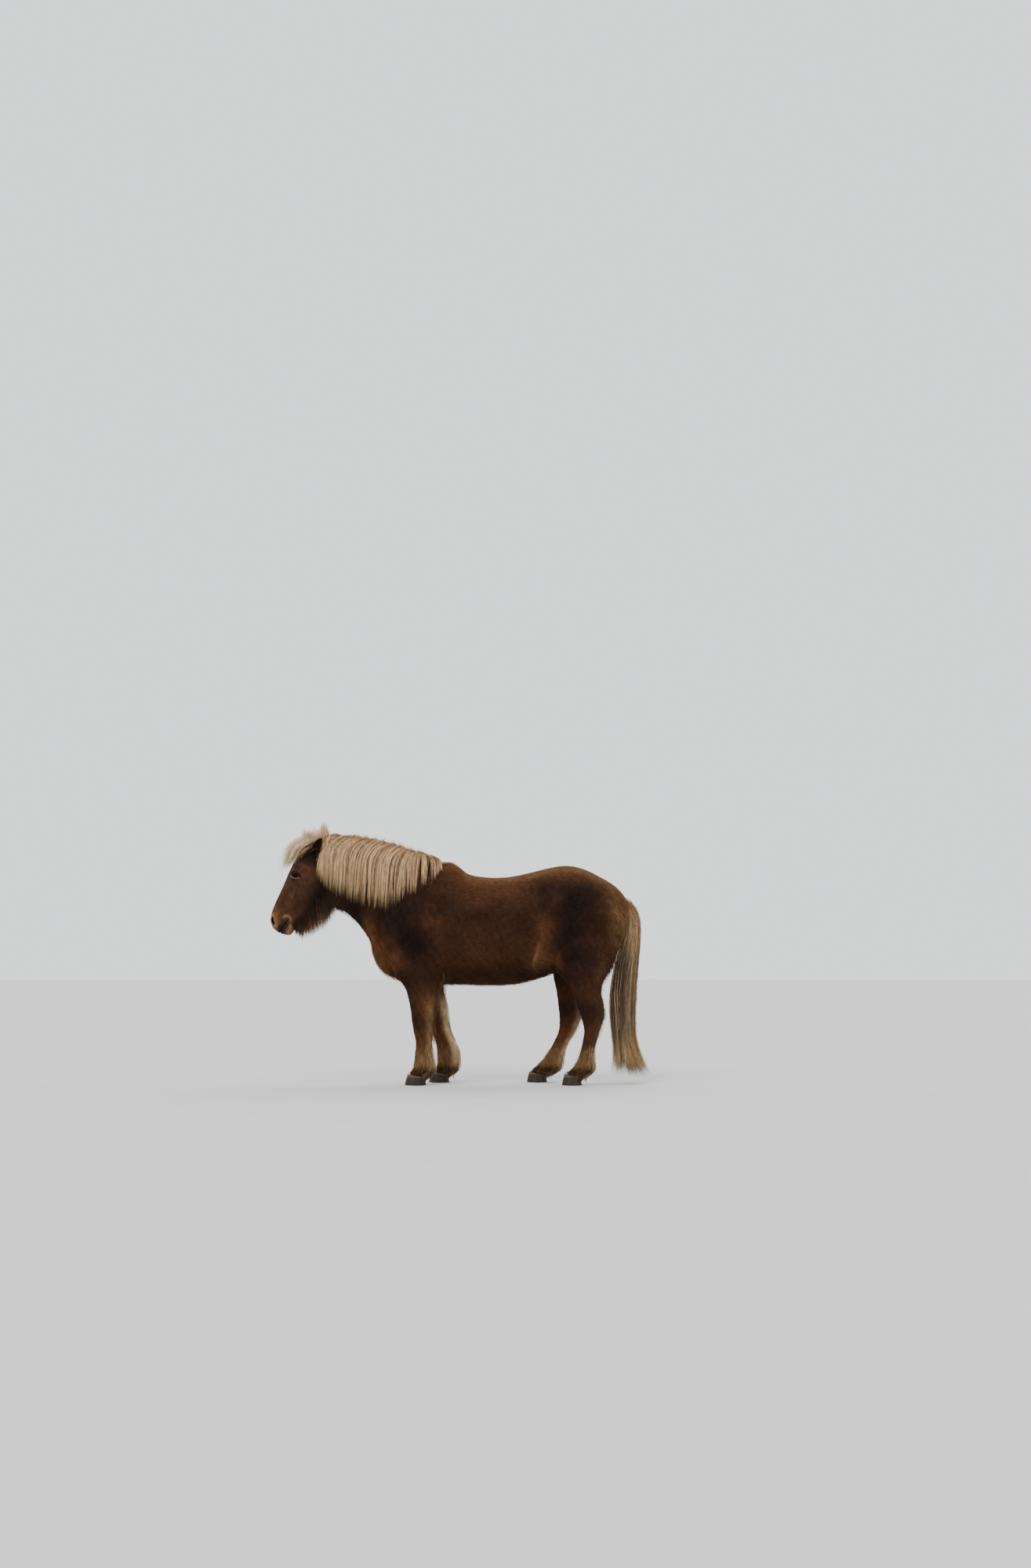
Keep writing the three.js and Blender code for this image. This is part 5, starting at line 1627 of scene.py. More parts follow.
def temple_strands(random):
    """Dark hair in front of the ears, below the forelock, partly painted shade of the forelock, and pale
    locks that hang over it.
    """
    count, k, locks = int(settings().forelock_strands * 0.56), 6, 44
    sign = random.choice([-1.0, 1.0], count)
    pale = np.arange(count) % 10 < 3
    place, fall = random.uniform(0, 1, (2, locks))[:, np.arange(count) // 10 % locks]
    in_lock, free = mix(0.05, 0.21, place) + random.normal(0, 0.004, count), random.uniform(0.05, 0.17, count)
    t0 = np.where(pale, in_lock, free)
    turn = np.radians(np.where(pale, random.uniform(70, 86, count), random.uniform(34, 84, count)))
    points = []
    for s, out in ((0.0, -3.0), (0.3, 5.0), (0.7, 9.0), (1.0, 6.0)):
        angle = turn - np.where(pale, 0.3 + 0.5 * fall, 0.12) * s + random.normal(0, 0.03, count)
        t = t0 + s * random.uniform(0.06, 0.1, count)
        spot = head.surface(t, angle, out + random.uniform(0, 5, count) * s + 6 * pale)
        spot[:, 1] *= np.where(spot[:, 1] * sign < 0, -1, 1)
        points.append(spot)
    radii = random.uniform(0.35, 0.7, count)[:, None] * taper(k)
    s = along_strand(k)
    colours = layered(
        hue("dark"),
        (hue("liver") * 1.3, ramp(s, 0.2, 1) * shares(random, count)),
        (hue("shadow_hair"), (shares(random, count) < 0.12) * 0.6),
        (mix(hue("rust"), hue("flaxen"), 0.7 * ramp(s, 0, 0.8)), pale[:, None, None]),
    )
    spots = rows_of((t0 - 0.02) / 0.2, 0.5 + 0.4 * sign * turn / 1.6)
    facing = unit(rows_of(-0.4, sign, 0.5))
    colours = vary(random, colours, 0.25)
    return build_hair("temple_hair", resample(points, k), radii, colours, facing, spots, look="coat")


BEARD_EDGE = np.array([(-1046, 945), (-1018, 924), (-995, 930), (-940, 946), (-885, 980), (-841, 1038),
                       (-800, 1116)], float)


def build_beard():
    random = np.random.default_rng(91)
    count, clumps, k = settings().beard_strands, 420, 5
    own, scatter = clumped(random, count, clumps)
    t = mix(0.245, 0.68, (np.arange(clumps) + random.uniform(0.0, 1.0, clumps)) / clumps)
    turn = np.radians(-90 + random.uniform(-40, 40, clumps))
    root_t = np.clip(t[own] + scatter[:, 0] * 0.014, 0.235, 0.7)
    angle = turn[own] + scatter[:, 1] * 0.14
    surface = head.surface(root_t, angle, -2.0)
    centre = head.surface(t, turn)
    edge = np.interp(centre[:, 0], BEARD_EDGE[:, 0], BEARD_EDGE[:, 1])
    drop = np.maximum(24, centre[:, 2] - edge + random.uniform(-14, 28, clumps))[own]
    drop = drop * (1 - 0.5 * random.uniform(0, 1, count) ** 1.8)
    away = np.sign(surface[:, 1]) * np.minimum(9, np.abs(surface[:, 1]) * 0.35)
    lean = random.normal(9, 8, clumps)[own] + scatter[:, 0] * 4
    # Strands of one lock draw together below
    tip = mix(surface, centre[own], 0.3)
    tip = rows_of(tip[:, 0] + lean, tip[:, 1] + away * 0.3, surface[:, 2] - drop)
    points = [
        head.surface(root_t, angle, -6.0),
        surface + rows_of(2, away * 0.2, -0.18 * drop),
        mix(surface, tip, 0.55) + rows_of(4 + scatter[:, 0] * 2, away * 0.4, 0),
        tip,
    ]
    paths = resample(points, k)
    radii = random.uniform(0.4, 0.75, count)[:, None] * taper(k, 0.25, power=3.0)
    # Dark over the jaw, partly painted shade under the cheek; orange where the hair hangs free
    free = ramp(surface[:, 2:3] - paths[:, :, 2] - 0.3 * drop[:, None], 36, 92)[..., None]
    free = free * mix(0.12, 1, ramp(root_t, 0.3, 0.48))[:, None, None]
    colours = layered(
        hue("dark") * 1.3,
        (hue("beard_rust"), free * shares(random, count, 0.45, 1)),
        (hue("flaxen"), shares(random, count) ** 3 * 0.35 * free * ramp(along_strand(k), 0.5, 1)),
    )
    spots = rows_of((root_t - 0.1) / 0.65, 0.5 + (angle + math.pi / 2) / 2.4)
    facing = unit(rows_of(0.25, np.where(angle < -math.pi / 2, 1.0, -1.0), 0))
    colours = vary(random, colours, 0.25)
    return [build_hair("beard", paths, radii, colours, facing, spots, look="coat")]


TAIL_FORM = Tube([
    (1040, 1200, 1010, 1120, 26, 0.5, 0, 0),
    (1108, 1162, 1052, 1080, 36, 0.5, 0, 0),
    (1150, 1090, 1060, 1020, 48, 0.5, 0, 0),
    (1166, 1010, 1052, 930, 58, 0.5, 0, 0),
    (1160, 880, 1028, 850, 66, 0.5, 0, 0),
    (1146, 740, 996, 730, 72, 0.5, 0, 0),
    (1138, 600, 966, 600, 76, 0.5, 0, 0),
    (1126, 420, 964, 420, 80, 0.5, 0, 0),
    (1136, 270, 976, 280, 82, 0.5, 0, 0),
    (1180, 150, 978, 160, 86, 0.5, 0, 0),
    (1246, 30, 962, 34, 92, 0.5, 0, 0),
])


def in_tail(t, depth, aside):
    """Places in the tail: t along it, and shares of its half depth and its half width."""
    _, low, up, height, half, *_ = TAIL_FORM.station(t)
    at = low + up * (height * (0.5 + depth / 2))[..., None]
    return rows_of(at[..., 0], half * aside, at[..., 1])


# The usual distance between two stations of a leg
STATION_GAP = 58


def build_tail():
    n = settings().tail_strands
    return [
        tail_strands("tail_core", int(n * 0.2), 40, 101, False, 2.0),
        tail_strands("tail_outer", int(n * 0.46), 34, 102, True, 0.95),
        tail_strands("tail_fine", int(n * 0.34), 110, 103, True, 0.65),
    ]


def tail_strands(name, count, clumps, seed, outer, thick):
    """One layer of the tail, from its root to the ground."""
    random = np.random.default_rng(seed)
    fine = name == "tail_fine"
    own, scatter = clumped(random, count, clumps)
    turn = (np.arange(clumps) * 2.4 + random.uniform(0, 0.8, clumps)) % (2 * math.pi)
    size = random.uniform(0.62, 0.96, clumps) if outer else np.sqrt(random.uniform(0, 0.5, clumps))
    start = random.uniform(0.0, 0.45, clumps) ** 1.3 if outer else random.uniform(0.02, 0.3, clumps)
    end = random.uniform(0.96, 1.0, clumps)
    early = random.uniform(0, 1, clumps) < 0.2
    end = np.where(early, end - random.uniform(0.08, 0.3, clumps), end)
    from_t = np.clip(start[own] + random.normal(0, 0.015, count), 0.0, 0.5)
    to_t = np.clip(end[own] - random.uniform(0, 1, count) ** 3 * 0.1, 0.3, 1.0)
    points = []
    sway = random.normal(0, 0.13 if fine else 0.1, (clumps, 2))
    phase = random.uniform(0, 6.28, (clumps, 2))
    way = rows_of(np.sin(turn), np.cos(turn))
    for i, s in enumerate((0, 0.08, 0.2, 0.34, 0.48, 0.62, 0.76, 0.88, 1.0)):
        t = mix(from_t, to_t, s)
        spread = (0.35, 0.8, 1, 1, 1, 1, 1, 1, 1)[i]
        width = mix(0.11, 0.05, s) * (1.7 if fine else 1) * (1 + 1.2 * ramp(t, 0.85, 1.0))
        at = way[own] * size[own][:, None] * spread + scatter * width[:, None]
        depth, aside = (at + sway[own] * np.sin(phase[own] + 11 * s)).T
        far = np.maximum(np.hypot(depth, aside) / (1.06 if fine else 0.98), 1)
        points.append(in_tail(t, depth / far, aside / far))
    k = 10 if outer else 8
    paths = resample(points, k)
    paths[:, :, 2] = np.maximum(paths[:, :, 2], 26)
    radii = (random.uniform(0.75, 1.25, count) * thick)[:, None] * taper(k, full=0.15, power=3.5)
    streak = np.exp(random.normal(0, 0.28, clumps))[own][:, None, None]
    rust, dark = hue("rust"), hue("tail_dark")
    rear = ramp(np.sin(turn), 0.3, 0.8)[own][:, None, None]
    deep = ramp(np.sin(turn) + random.normal(0, 0.25, clumps), 0.75, 0.15)[own][:, None, None]
    height = paths[:, :, 2:3]
    band = ramp(height, 940, 760) * ramp(height, 130, 360)
    lock = (random.uniform(0, 1, clumps) < 0.72)[own][:, None, None]
    colours = layered(
        np.tile(mix(hue("flaxen") * 0.67, rust * 0.62, 0.3), (count, k, 1)) * streak,
        (rust * 0.55, 0.55 * rear),
        (dark, 0.95 * deep * band * lock),
        (dark, (shares(random, count) < 0.25) * 0.7 * band),
        (hue("blond_tip") * 1.15, 0.85 * ramp(height, 340, 100)),
        (rust, 0.5 * ramp(height, 1000, 1120)),
    )
    colours = vary(random, colours if outer else colours * 0.4, 0.3)
    round_tail = (turn[own] / (2 * math.pi) + 0.02 * scatter[:, 0]) % 1
    spots = rows_of(round_tail, 0.1 + 1.6 * from_t + 0.02 * scatter[:, 1])
    facing = unit(rows_of(np.sin(turn), np.cos(turn) * 1.4, 0))[own]
    replaces = ("tail",) if name == "tail_outer" else ()
    return build_hair(name, paths, radii, colours, facing, spots, 0.45, replaces=replaces)


def build_feather():
    """Long hair that hangs round each fetlock over the hoof, and behind the forearms, knees and hocks."""
    made = []
    for index, (name, tube) in enumerate(legs.items()):
        random = np.random.default_rng(120 + index)
        steps = len(tube.rows) - 1
        fore = name.startswith("front")
        count, clumps, k = settings().feather_strands, 70, 6
        own, scatter = clumped(random, count, clumps)
        turn = np.clip(random.normal(0, 80, clumps), -170, 170)[own]
        t = (steps - mix(3.8, 0.35, random.uniform(0, 1, count) ** 0.8)) / steps
        angle = np.radians(-90 + turn + scatter[:, 1] * 6)
        behind = ramp(np.abs(turn), 120, 30)
        long = mix(34, 66, behind) * random.uniform(0.6, 1.1, count)
        points = []
        for s, lift in ((0.0, -5.0), (0.3, 2.5), (0.65, 6.0), (1.0, 9.0)):
            at = t + s * long / STATION_GAP / steps
            over = np.maximum(at - 1, 0) * steps * STATION_GAP
            out = lift * (0.5 + 0.5 * behind) + 0.16 * over if lift > 0 else lift
            spot = tube.surface(np.minimum(at, 1), angle, out)
            spot[:, 2] = np.maximum(spot[:, 2] - over, random.uniform(6, 26, count))
            points.append(spot)
        paths = resample(points, k)
        s = along_strand(k)
        colours = layered(
            hue("golden"),
            (hue("pale_hair"), shares(random, count, 0.1, 1) * ramp(s, 0, 0.7)),
            (hue("flaxen"), shares(random, count) ** 3 * behind[:, None, None]),
            (hue("dark"), 0.75 * ramp(paths[:, :, 2:3], 120, 70) * ramp(s, 1.0, 0.5)),
        )
        # A fringe down the back of the leg
        extra = int(count * (0.7 if fore else 0.35))
        low, high = (1.8, 8.0) if fore else (2.6, 8.6)
        t = mix(low, high, random.uniform(0, 1, extra)) / steps
        angle = np.radians(-90 + random.normal(0, 20, extra))
        root = tube.surface(t, angle, -2.0)
        fall = random.uniform(28, 64, extra) * (1 if fore else 0.6)
        tilt = random.uniform(0.12, 0.5, extra)
        middle = root + rows_of(fall * 0.2, 0, -0.35 * fall)
        tip = root + rows_of(fall * tilt, random.normal(0, 3, extra), -fall)
        paths = np.concatenate([paths, resample([tube.surface(t, angle, -7.0), middle, tip], k)])
        # The far legs' fringe is paler: partly pale hair, partly painted rim light
        far = 0.5 if name.endswith("right") else 0.0
        share = shares(random, extra, far, 1) * ramp(s, 0.2 - far, 1)
        pale = mix(hue("pale_hair"), hue("flaxen"), 0.5 * far)
        colours = np.concatenate([colours, mix(mix(hue("liver"), hue("golden"), 0.7), pale, share)])
        angle = np.radians(-90 + turn)
        out = unit(tube.surface(0.5, angle, 10.0) - tube.surface(0.5, angle, 0.0))
        out = np.concatenate([out, np.tile([0.7, 0.7, 0.0], (extra, 1))])
        count += extra
        radii = random.uniform(0.4, 0.8, count)[:, None] * taper(k, 0.25)
        spots = rows_of(random.uniform(0.02, 0.98, count), paths[:, 0, 2] / 1000)
        colours = vary(random, colours, 0.25)
        made.append(build_hair("feather_" + name, paths, radii, colours, out, spots))
    return made


def build_ear_hair():
    """Fine hair along the rims of the ears and in their cups."""
    random = np.random.default_rng(130)
    shell = Tube(EAR_SHELL)
    paths, tones, facings = [], [], []
    n, k = 520, 4
    for sign in SIDES.values():
        _, look, across, up = ear_frame(sign)
        inner = random.uniform(0, 1, n) < 0.35
        t = np.where(inner, random.uniform(0.25, 0.6, n), random.uniform(0.3, 0.99, n))
        side = np.where(random.uniform(0, 1, n) < 0.5, 0.0, math.pi) + random.normal(0, 0.16, n)
        p = shell.surface(t, side)
        p[:, 0] += np.where(inner, -6, random.uniform(4, 10, n)) * (1 - t)
        p[:, 1] *= np.where(inner, 0.7, 0.97)
        root = on_ear(p, sign)
        out = np.where(inner[:, None], look * 0.9, across * (np.sign(p[:, 1]) * 0.35)[:, None] + look * 0.3)
        way = unit(up * 0.8 + out + random.normal(0, 0.12, (n, 3)))
        long = np.where(inner, random.uniform(10, 26, n), random.uniform(8, 19, n))[:, None]
        paths.append(resample([root - way * 2, root + way * long * 0.5 + look, root + way * long], k))
        pale = random.uniform(0.1, 0.9, n) * ramp(t, 0.45, 0.7) * ~inner
        tones.append(np.repeat(mix(hue("liver"), hue("flaxen"), pale[:, None])[:, None], k, 1))
        facings.append(np.tile(look, (n, 1)))
    paths, tones, facings = np.concatenate(paths), np.concatenate(tones), np.concatenate(facings)
    radii = random.uniform(0.3, 0.5, len(paths))[:, None] * taper(k)
    spots = rows_of(random.uniform(0.02, 0.98, len(paths)), (paths[:, 0, 2] - 1430) / 160)
    tones = vary(random, tones, 0.2)
    return [build_hair("ear_hair", paths, radii, tones, facings, spots, 1.0)]


def build_whiskers():
    """Fine dark hairs on the muzzle and chin, and the lashes."""
    random = np.random.default_rng(140)
    roots, ways, length = [], [], []
    for sign in SIDES.values():
        n = 34
        along, rise = random.uniform(520, 606, n), random.uniform(-176, -90, n)
        x, z = on_head(along, rise)
        roots.append(rows_of(x, sign * np.maximum(head_side(x, z) - 3, 2), z))
        ways.append(unit(rows_of(random.normal(-0.35, 0.25, n), sign * random.uniform(0.4, 1, n),
                                 random.normal(-0.45, 0.3, n))))
        length.append(random.uniform(14, 34, n))
        n = 44
        share = np.linspace(-0.9, 0.9, n)
        u = share * EYE["length"]
        w = EYE["upper"] * np.sqrt(np.maximum(1 - np.abs(share) ** EYE["bend"], 0))
        dx, out, dz = on_eyeball(u, w, 2.6, 6)
        roots.append(eye_centre(sign) + rows_of(dx, sign * out, dz))
        ways.append(unit(rows_of(0.02 * u, sign * 0.95, -0.25) + random.normal(0, 0.06, (n, 3))))
        length.append(random.uniform(9, 16, n))
    roots, ways, length = np.vstack(roots), np.vstack(ways), np.concatenate(length)[:, None]
    count, k = len(roots), 6
    s = np.linspace(0, 1, k)
    paths = roots[:, None] + ways[:, None] * (length * s)[..., None]
    paths[:, :, 2] -= length * 0.25 * s**2
    radii = np.full((count, 1), 0.35) * taper(k, 1, 0.1)
    colours = np.tile(hue("bare") * 0.8, (count, k, 1))
    spots = random.uniform(0.02, 0.98, (count, 2))
    colours = vary(random, colours, 0.3)
    return [build_hair("whiskers", paths, radii, colours, [0.1, 0.2, 1.0], spots, 1.0)]


# Eyes, lids and hooves

def build_eyes():
    made = []
    for side, sign in SIDES.items():
        rings, sides = 40, 56
        polar = np.linspace(0, math.pi, rings + 1)[1:-1, None]
        turn = full_turn(sides)
        # The ball with its bulge in front
        ball = EYE["ball"] + 1.1 * bell(polar, 0, 0.42)
        u, w = ball * np.sin(polar) * np.cos(turn), ball * np.sin(polar) * np.sin(turn)
        p = rows_of(u, sign * ball * np.cos(polar), w).reshape(-1, 3)
        p = np.vstack([p, [0, sign * (EYE["ball"] + 1.1), 0], [0, -sign * EYE["ball"], 0]])
        a, b = turned(p[:, 0], p[:, 2], EYE["tilt"])
        pupil = ramp(np.sqrt((a / 7.5) ** 2 + (b / 3.6) ** 2), 1.15, 0.85)[:, None]
        iris = ramp(np.hypot(a, b), 15.5, 13.5)[:, None]
        tone = mix(hue("bare") * 0.7, hue("iris"), iris)
        tone = tone * (1 + 0.35 * np.sin(np.arctan2(b, a) * 38)[:, None] * iris * (1 - pupil))
        tone = np.clip(mix(tone, np.array([0.002, 0.002, 0.003]), pupil), 0.001, 1)
        eye = new_object("eyeball_" + side, metres(p + eye_centre(sign)), tube_faces(rings - 1, sides), tone)
        outward(eye.data)
        made.append(finish_piece(eye, "eye", ("eye_" + side,)))
    return made


def build_lids():
    """The moist rims of the lids, all round each eye's opening."""
    made = []
    steps, sides = 96, 10
    for side, sign in SIDES.items():
        turn = full_turn(steps)
        cu, su = np.cos(turn), np.sin(turn)
        u = EYE["length"] * np.sign(cu) * np.abs(cu) ** (2 / EYE["bend"])
        w = np.where(su > 0, EYE["upper"], EYE["lower"]) * su
        dx, out, dz = on_eyeball(u, w, 1.6, 11.0)
        line = rows_of(dx, sign * out, dz)
        along, away = unit(np.roll(line, -1, 0) - np.roll(line, 1, 0)), unit(line)
        across = np.cross(along, away)
        roll = full_turn(sides)[None, :, None]
        size = np.where(su > 0, 1.9, 1.7)[:, None, None]
        p = line[:, None] + size * (np.cos(roll) * across[:, None] + 0.9 * np.sin(roll) * away[:, None])
        # The last ring of faces closes on the first ring of vertices
        faces = [tuple(i % (steps * sides) for i in face)
                 for face in tube_faces(steps + 1, sides)[:steps * sides]]
        upper = ramp(su, -0.3, 0.2)[:, None, None] * np.ones((1, sides, 1))
        tone = mix(hue("lid_pale"), hue("bare"), upper).reshape(-1, 3)
        rim = new_object("lids_" + side, metres(p.reshape(-1, 3) + eye_centre(sign)), faces, tone)
        outward(rim.data)
        made.append(finish_piece(rim, "lid"))
    return made


def build_hooves():
    made = []
    for name, (y, rows, (toe, heel)) in LEGS.items():
        end = rows[-1]
        shape = Tube([
            (end[0], end[1] - 0.3, end[2], end[3] - 0.3, end[4], 0.5, 0, 0, y),
            (toe + 4, 26, heel - 2, 24, end[4] + 6, 0.5, 0, -0.15, y),
            (toe, 0, heel, 0, end[4] + 9, 0.5, 0, -0.2, y),
        ])
        rings, sides = 30, 56
        t, angle = np.linspace(0, 1, rings + 1)[:, None], full_turn(sides)
        grown = -0.9 + 0.35 * np.sin(t * 34 + 0.5 * np.sin(angle)) * ramp(t, 0.05, 0.2) * ramp(t, 1, 0.85)
        p = shape.surface(t, angle, grown + 1.2 * bell(t, 0.05, 0.05))
        p[..., 2] = np.maximum(p[..., 2], 0)
        p[-1, :, 2] = 0
        # The sole is a flat rim round a shallow cup
        sole, middle = p[-1], p[-1].mean(0)
        inner, cup = mix(middle, sole, 0.82), mix(middle, sole, 0.74) + [0, 0, 4.5]
        verts = np.vstack([p.reshape(-1, 3), inner, cup, p[0].mean(0), middle + [0, 0, 5]])
        share = np.clip(1 - verts[:, 2] / 62, 0, 1)[:, None]
        tone = mix(hue("hoof_pale"), hue("hoof_grey"), ramp(share, 0.0, 0.3))
        streak = np.sin(np.arctan2(verts[:, 1] - y, verts[:, 0] - (toe + heel) / 2) * 9)
        tone = np.clip(tone * (1 + 0.12 * streak)[:, None], 0, 1)
        hoof = new_object("horn_" + name, metres(verts), tube_faces(rings + 3, sides), tone)
        outward(hoof.data)
        made.append(finish_piece(hoof, "horn", ("hoof_" + name,)))
    return made


# Stage

def build_stage():
    bpy.ops.mesh.primitive_circle_add(vertices=96, radius=60, fill_type="NGON")
    floor = bpy.context.object
    floor.name = "floor"
    n = Nodes("floor_plain")
    fine = n.noise(3, 2)
    n.surface(n.ramp(fine, (0.3, (0.53, 0.525, 0.51)), (0.7, (0.55, 0.545, 0.53))), 0.9, 0.2)
    floor.data.materials.append(n.material)

    world = bpy.data.worlds.new("studio")
    world.use_nodes = True
    back = world.node_tree.nodes["Background"]
    back.inputs["Color"].default_value = (0.95, 0.97, 1.0, 1)
    back.inputs["Strength"].default_value = 1.5
    bpy.context.scene.world = world

    for name, way, spread, power, colour in (
        ("key", (-3, -5, 6), 30, 1.6, (1, 0.98, 0.95)),
        ("top", (2.5, 4, 7), 40, 1.6, (1, 1, 1)),
    ):
        light = bpy.data.lights.new(name, "SUN")
        light.angle = math.radians(spread)
        light.energy = power
        light.color = colour
        made = bpy.data.objects.new(name, light)
        made.location = way
        made.rotation_euler = Vector(way).to_track_quat("Z", "Y").to_euler()
        bpy.context.scene.collection.objects.link(made)


def build_camera():
    data = bpy.data.cameras.new("photo_view")
    data.sensor_fit = "VERTICAL"
    data.sensor_height = 36
    data.sensor_width = 36
    data.lens = 39.15
    data.clip_end = 200
    camera = bpy.data.objects.new("photo_view", data)
    camera.location = (0.3774, -11.0, 0.78024)
    camera.rotation_euler = (math.radians(90 + 5.906), 0, 0)
    bpy.context.scene.collection.objects.link(camera)
    bpy.context.scene.camera = camera


# The add-on

def colour_property(name, description, default):
    return FloatVectorProperty(name=name, description=description, subtype="COLOR", size=3, min=0, max=1,
                               default=default)


def count_property(name, description, default, low, high):
    return IntProperty(name=name, description=description, default=default, min=low, max=high)


class HorseSettings(bpy.types.PropertyGroup):
    """Sizes and colours of the horse that a user would change."""

    coat_length: FloatProperty(name="Coat length", description="Length of the hair on the barrel",
                               default=0.027, min=0.01, max=0.06, unit="LENGTH")
    tufts: count_property("Tufts", "Tufts in a large piece of the coat", 28000, 100, 42000)
    mane_strands: count_property("Mane strands", "Strands of the whole mane", 6000, 100, 9000)
    forelock_strands: count_property("Forelock strands", "Strands of the forelock", 1500, 50, 2500)
    beard_strands: count_property("Beard strands", "Strands below the jaw", 3500, 50, 4500)
    tail_strands: count_property("Tail strands", "Strands of the whole tail", 3800, 100, 6000)
    feather_strands: count_property("Feather strands", "Strands round each fetlock", 720, 50, 2000)
    # Dark, warm, golden, orange, leg hair and shadow hair are also laid as painted shade and painted light
    liver: colour_property("Liver", "Main brown of the coat", (0.031, 0.0125, 0.0065))
    dark: colour_property("Dark", "Shoulder and haunch", (0.0078, 0.0042, 0.0032))
    warm: colour_property("Warm", "Reddish brown of the back and flank", (0.098, 0.038, 0.0135))
    golden: colour_property("Golden", "Golden brown of the lower legs", (0.105, 0.052, 0.019))
    pale_hair: colour_property("Leg hair", "Pale hair behind the lower legs", (0.33, 0.20, 0.09))
    orange: colour_property("Orange", "Orange tan of the chest", (0.14, 0.055, 0.0185))
    muzzle: colour_property("Muzzle", "Greyish tan of the muzzle and chin", (0.23, 0.125, 0.062))
    bare: colour_property("Bare skin", "Lips, nostrils and lids", (0.013, 0.0095, 0.0078))
    flaxen: colour_property("Flaxen", "Pale hair of the mane", (0.74, 0.52, 0.285))
    forelock_pale: colour_property("Forelock", "Palest hair, at the forelock", (0.92, 0.75, 0.50))
    rust: colour_property("Rust", "Rusty brown at the roots of the mane", (0.33, 0.145, 0.048))
    shadow_hair: colour_property("Shadow hair", "Grey brown hair among the pale", (0.22, 0.14, 0.075))
    beard_rust: colour_property("Beard", "Rusty orange of the beard", (0.32, 0.15, 0.055))
    tail_dark: colour_property("Tail dark", "Dark hair inside the tail", (0.072, 0.050, 0.032))
    blond_tip: colour_property("Blond tips", "Blond ends of the tail", (0.36, 0.23, 0.10))
    iris: colour_property("Iris", "Brown of the iris", (0.006, 0.0028, 0.0016))
    lid_pale: colour_property("Lower lid", "Pale rim of the lower lid", (0.24, 0.16, 0.12))
    hoof_grey: colour_property("Hoof", "Grey horn of the hoof", (0.034, 0.024, 0.016))
    hoof_pale: colour_property("Coronet", "Pale band on top of the hoof", (0.11, 0.072, 0.042))


class Build:
    """What every operator here shares."""

    bl_options = {"REGISTER"}
    made = {}

    def keep(self, pieces):
        pieces = pieces if isinstance(pieces, list) else [pieces]
        if not pieces:
            raise RuntimeError(f"{self.bl_label} made nothing")
        for piece in pieces:
            Build.made[piece.name] = piece
        return {"FINISHED"}


class HORSE_OT_skin(Build, bpy.types.Operator):
    """One skin over the flesh, with lids, nostrils, mouth and ears"""

    bl_idname = "horse.skin"
    bl_label = "Skin"

    def execute(self, context):
        return self.keep(build_skin())


class HORSE_OT_eyes(Build, bpy.types.Operator):
    """Both eyeballs and the rims of their lids"""

    bl_idname = "horse.eyes"
    bl_label = "Eyes and Lids"

    def execute(self, context):
        return self.keep(build_eyes() + build_lids())


class HORSE_OT_hooves(Build, bpy.types.Operator):
    """The four hooves with their growth rings"""

    bl_idname = "horse.hooves"
    bl_label = "Hooves"

    def execute(self, context):
        return self.keep(build_hooves())


class HORSE_OT_coat(Build, bpy.types.Operator):
    """The tufts of the winter coat"""

    bl_idname = "horse.coat"
    bl_label = "Coat"

    def execute(self, context):
        return self.keep(build_coat(Build.made["skin"]))


class HORSE_OT_mane(Build, bpy.types.Operator):
    """The mane's strands on both sides of the neck"""

    bl_idname = "horse.mane"
    bl_label = "Mane"

    def execute(self, context):
        return self.keep(build_mane())


class HORSE_OT_forelock(Build, bpy.types.Operator):
    """The forelock and the tuft at the poll"""

    bl_idname = "horse.forelock"
    bl_label = "Forelock"

    def execute(self, context):
        return self.keep(build_forelock())


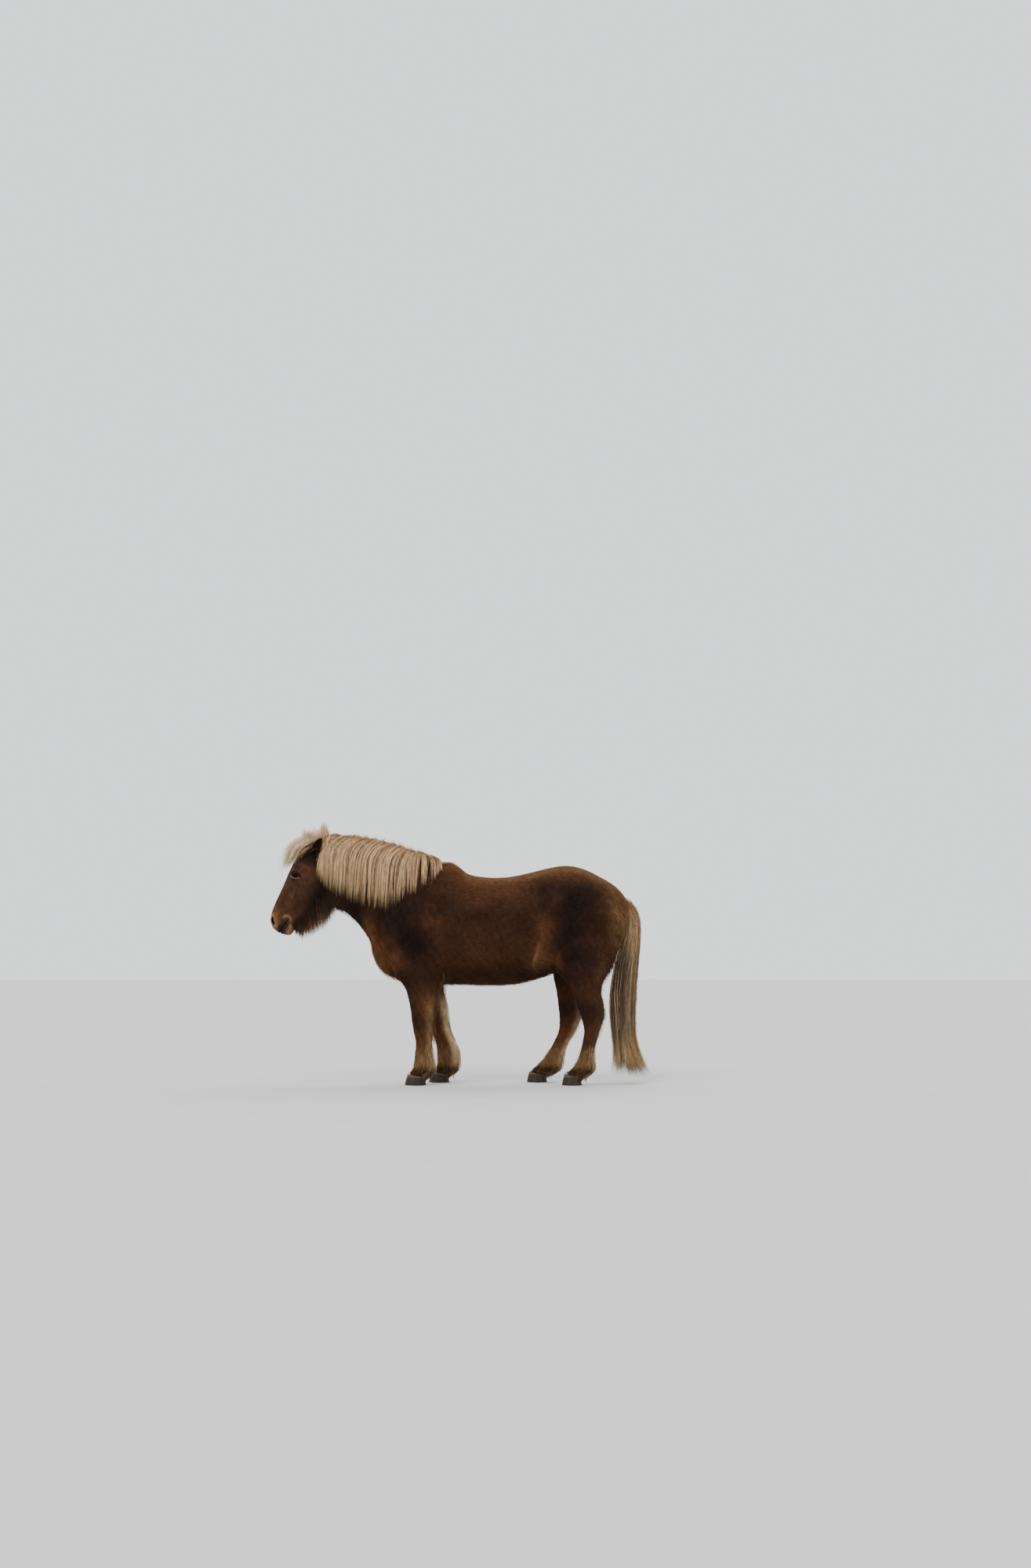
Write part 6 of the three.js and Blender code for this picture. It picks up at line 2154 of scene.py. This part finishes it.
class HORSE_OT_beard(Build, bpy.types.Operator):
    """The beard below the jaw"""

    bl_idname = "horse.beard"
    bl_label = "Beard"

    def execute(self, context):
        return self.keep(build_beard())


class HORSE_OT_tail(Build, bpy.types.Operator):
    """The tail's strands"""

    bl_idname = "horse.tail"
    bl_label = "Tail"

    def execute(self, context):
        return self.keep(build_tail())


class HORSE_OT_feather(Build, bpy.types.Operator):
    """The long hair behind the fetlocks and knees"""

    bl_idname = "horse.feather"
    bl_label = "Feather"

    def execute(self, context):
        return self.keep(build_feather())


class HORSE_OT_whiskers(Build, bpy.types.Operator):
    """Whiskers and lashes"""

    bl_idname = "horse.whiskers"
    bl_label = "Whiskers and Lashes"

    def execute(self, context):
        return self.keep(build_whiskers() + build_ear_hair())


class HORSE_OT_stage(Build, bpy.types.Operator):
    """The floor, the soft light and the camera"""

    bl_idname = "horse.stage"
    bl_label = "Stage"

    def execute(self, context):
        build_stage()
        build_camera()
        return {"FINISHED"}


STEPS = [HORSE_OT_skin, HORSE_OT_eyes, HORSE_OT_hooves, HORSE_OT_coat, HORSE_OT_mane, HORSE_OT_forelock,
         HORSE_OT_beard, HORSE_OT_tail, HORSE_OT_feather, HORSE_OT_whiskers, HORSE_OT_stage]


class HORSE_PT_panel(bpy.types.Panel):
    """Lists the pieces of the horse"""

    bl_idname = "HORSE_PT_panel"
    bl_label = "Icelandic Horse"
    bl_space_type = "VIEW_3D"
    bl_region_type = "UI"
    bl_category = "Horse"

    def draw(self, context):
        for step in STEPS:
            self.layout.operator(step.bl_idname)
        for name in HorseSettings.__annotations__:
            self.layout.prop(context.scene.horse, name)


CLASSES = [HorseSettings, *STEPS, HORSE_PT_panel]


def register():
    for cls in CLASSES:
        bpy.utils.register_class(cls)
    bpy.types.Scene.horse = PointerProperty(type=HorseSettings)


def unregister():
    del bpy.types.Scene.horse
    for cls in reversed(CLASSES):
        bpy.utils.unregister_class(cls)


def main():
    register()
    for step in STEPS:
        group, name = step.bl_idname.split(".")
        getattr(getattr(bpy.ops, group), name)()


if __name__ == "__main__":
    main()
